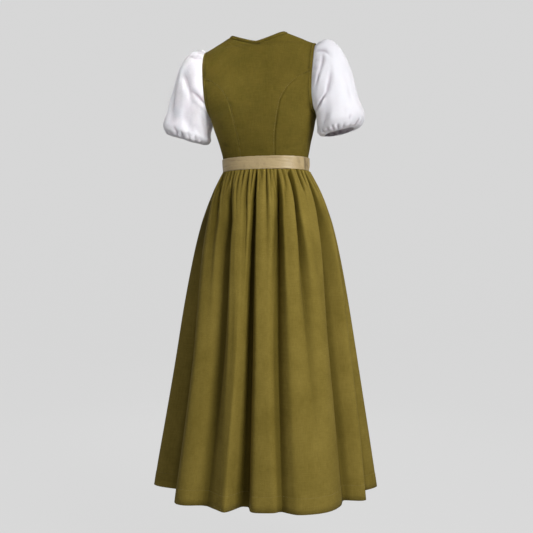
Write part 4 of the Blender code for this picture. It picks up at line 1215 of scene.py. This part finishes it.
def troughs(share, z):
    """Depth of the narrow troughs at one height."""
    deep = 0.0
    start = 1 - math.exp(-(WAIST_Z - z) / TROUGH_START)
    for trough in TROUGHS:
        width = across_levels((TROUGH_WIDTH_WAIST, trough.width_upper, trough.width_middle,
                               trough.width_middle), z) / 360.0
        if z > FOLD_UPPER_Z:
            depth = trough.upper * start
        else:
            depth = across_levels((trough.upper, trough.upper, trough.middle, trough.hem), z)
        offset = (share - share_at(trough.waist) + 0.5) % 1.0 - 0.5
        side = np.where(offset < 0, trough.lean, 1 / trough.lean)
        deep = deep + depth * np.exp(-np.abs(offset / (width * side)) ** trough.power)
    return deep


def skirt_ring(share, z):
    """Points of the skirt at one height for threads at shares of the waist."""
    knots = share_at(column(SKIRT_FOLDS, "waist"))

    def lines(name, rise=0.0):
        return round_curve(knots, column(SKIRT_FOLDS, name), share, 1.0, rise)

    turned = across_levels([lines(name, 360.0) for name in ("waist", "upper", "middle", "hem")], z)
    outs = [lines(f"out_{level}") for level in ("upper", "middle", "hem")]
    angle = np.radians(turned)
    radius = skirt_radius(angle, z) + across_levels([0 * share, *outs], z)
    radius += gathers(share, z) - troughs(share, z)
    radius += blend_step((WAIST_Z - z) / HANG_LENGTH) * waves("skirt", share, z)
    radius += crease_relief(angle_at(share), z, SKIRT_CREASES, SKIRT_DEGREE, 1.0, 360.0)
    past_hem = z - HEM_Z - HEM_DEPTH
    radius += HEM_RISE * (1 - blend_step(past_hem / HEM_STEP))
    radius -= HEM_GROOVE * bell(past_hem, HEM_GROOVE_WIDTH)
    return stacked(-radius * np.sin(angle), radius * np.cos(angle), z)


def fold_shade_mask(grid):
    """How much painted shade each point of the skirt gets, from 0 to 1, as it lies behind ridges.
    """
    radius = np.hypot(grid[..., 0], grid[..., 1])
    mean = neighbours(radius, WIDE_FOLDS.reach, wraps=True).mean(axis=1)
    crest = neighbours(radius, NARROW_FOLDS.reach, wraps=True).max(axis=1)
    below = np.maximum(mean - radius, 0.0) ** 2
    wide = WIDE_FOLDS.tone * below / (below + WIDE_FOLDS.depth ** 2)
    narrow = NARROW_FOLDS.tone * blend_step((crest - radius) / NARROW_FOLDS.depth)
    narrow = narrow * (1 - blend_step((WAIST_Z - grid[..., 2]) / NARROW_FOLD_LENGTH))
    return np.maximum(wide, narrow)


def skirt_heights():
    """Heights of the skirt's rows, close under the waist and at the hem's stitching."""
    down = np.linspace(0.0, 1.0, SKIRT_ROWS + 1) ** ROW_CROWDING
    heights = WAIST_Z + (HEM_Z - WAIST_Z) * down
    line = HEM_Z + HEM_DEPTH
    kept = heights[np.abs(heights - line) > HEM_LINE_CLEAR]
    return np.sort(np.concatenate([kept, line + np.array(HEM_LINE_ROWS)]))[::-1]


def skirt():
    """Back and front panels, gathered at the waist and hanging in folds to the hem."""
    seam = round(float(share_at(RIGHT_SEAM_ANGLE)) * WAIST_GATHERS) * GATHER_COLUMNS
    whole = WAIST_GATHERS * GATHER_COLUMNS
    heights = skirt_heights()
    line = int(np.argmin(np.abs(heights - HEM_Z - HEM_DEPTH)))
    form = np.array([skirt_ring(np.arange(whole) / whole, z) for z in heights])
    # painted shade in the skirt's folds
    painted_shade = fold_shade_mask(form)
    for name, first, last in (("skirt_back", 0, seam), ("skirt_front", seam, whole)):
        panel_columns = np.arange(first, last + 1)
        grid = form[:, panel_columns % whole]
        grid[0, :, 2] -= SEAM_GAP / 2
        grid = pull_in(grid, rows=(False, False))
        around = panel_columns / whole * 2 * cut_of(name).width
        piece = cloth(name, grid, OLIVE, painted_shade[:, panel_columns % whole],
                      stacked(around, WAIST_Z - heights[:, None]))
        facing = outward_normals(grid)[line]
        stitches(f"{name}_hem_stitches", grid[line], facing, HEM_STITCH)


# ---- studio

def area_light(name, azimuth, height, distance, size, power, spread, aim):
    """A soft light that faces a point of the dress; azimuth 0 is in front of the wearer."""
    turn = math.radians(azimuth)
    light = bpy.data.lights.new(name, "AREA")
    light.shape = "SQUARE"
    light.size = size
    light.energy = power
    light.spread = math.radians(spread)
    lamp = placed(light)
    lamp.location = (math.sin(turn) * distance, -math.cos(turn) * distance, height)
    lamp.rotation_euler = (Vector(aim) - lamp.location).to_track_quat("-Z", "Y").to_euler()


def backdrop():
    """A pale floor that sweeps up all round into a wall."""
    turns = [math.pi / 2 * step / SWEEP_STEPS for step in range(SWEEP_STEPS + 1)]
    profile = [(0.0, FLOOR_Z)]
    profile += [(SWEEP_START + SWEEP_RADIUS * math.sin(turn),
                 FLOOR_Z + SWEEP_RADIUS * (1 - math.cos(turn))) for turn in turns]
    profile.append((SWEEP_START + SWEEP_RADIUS, WALL_TOP_Z))
    sides = [math.tau * side / BACKDROP_SIDES for side in range(BACKDROP_SIDES)]
    points = [(r * math.cos(side), r * math.sin(side), z) for r, z in profile for side in sides]
    faces = grid_faces(len(profile), BACKDROP_SIDES, closed=True).tolist()
    material, _, _ = new_material("pale_paper", {
        "Base Color": (PAPER_MATT, PAPER_MATT, PAPER_MATT, 1.0), "Roughness": 1.0,
        "Specular IOR Level": 0.0, "Emission Color": (1.0, 1.0, 1.0, 1.0),
        "Emission Strength": PAPER_GLOW})
    paper = placed(new_mesh("backdrop", points, faces, material))
    paper.visible_diffuse = False
    paper.visible_glossy = False
    paper.visible_shadow = False


def studio():
    """Soft studio light, the backdrop and the camera."""
    backdrop()
    scene = bpy.context.scene
    scene.world = bpy.data.worlds.new("studio")
    scene.world.use_nodes = True
    tree = scene.world.node_tree
    background = tree.nodes["Background"]
    background.inputs["Color"].default_value = (1.0, 1.0, 1.0, 1.0)
    direction = node(tree, "ShaderNodeTexCoord").outputs["Generated"]
    split = node(tree, "ShaderNodeSeparateXYZ", {"Vector": direction})
    limits = {"From Min": -1.0, "To Min": AMBIENT_BELOW, "To Max": AMBIENT_ABOVE}
    strength = node(tree, "ShaderNodeMapRange", {"Value": split.outputs["Z"]}, **limits)
    tree.links.new(strength.outputs["Result"], background.inputs["Strength"])
    scene.view_settings.view_transform = "Standard"
    for light in LIGHTS:
        area_light(*light)
    camera = bpy.data.cameras.new("camera")
    camera.sensor_width = SENSOR_WIDTH
    camera.lens = CAMERA_FOCAL * SENSOR_WIDTH / PHOTO_WIDTH
    camera.shift_x = CAMERA_AIM_X / PHOTO_WIDTH
    camera.shift_y = CAMERA_AIM_Y / PHOTO_WIDTH
    eye = placed(camera)
    turn = math.radians(CAMERA_TURN)
    eye.location = (-math.sin(turn) * CAMERA_DISTANCE, math.cos(turn) * CAMERA_DISTANCE, CAMERA_Z)
    look = Vector((math.sin(turn), -math.cos(turn), 0.0))
    eye.rotation_euler = look.to_track_quat("-Z", "Y").to_euler()
    scene.camera = eye


studio()
bodice()
sash()
sleeves()
skirt()
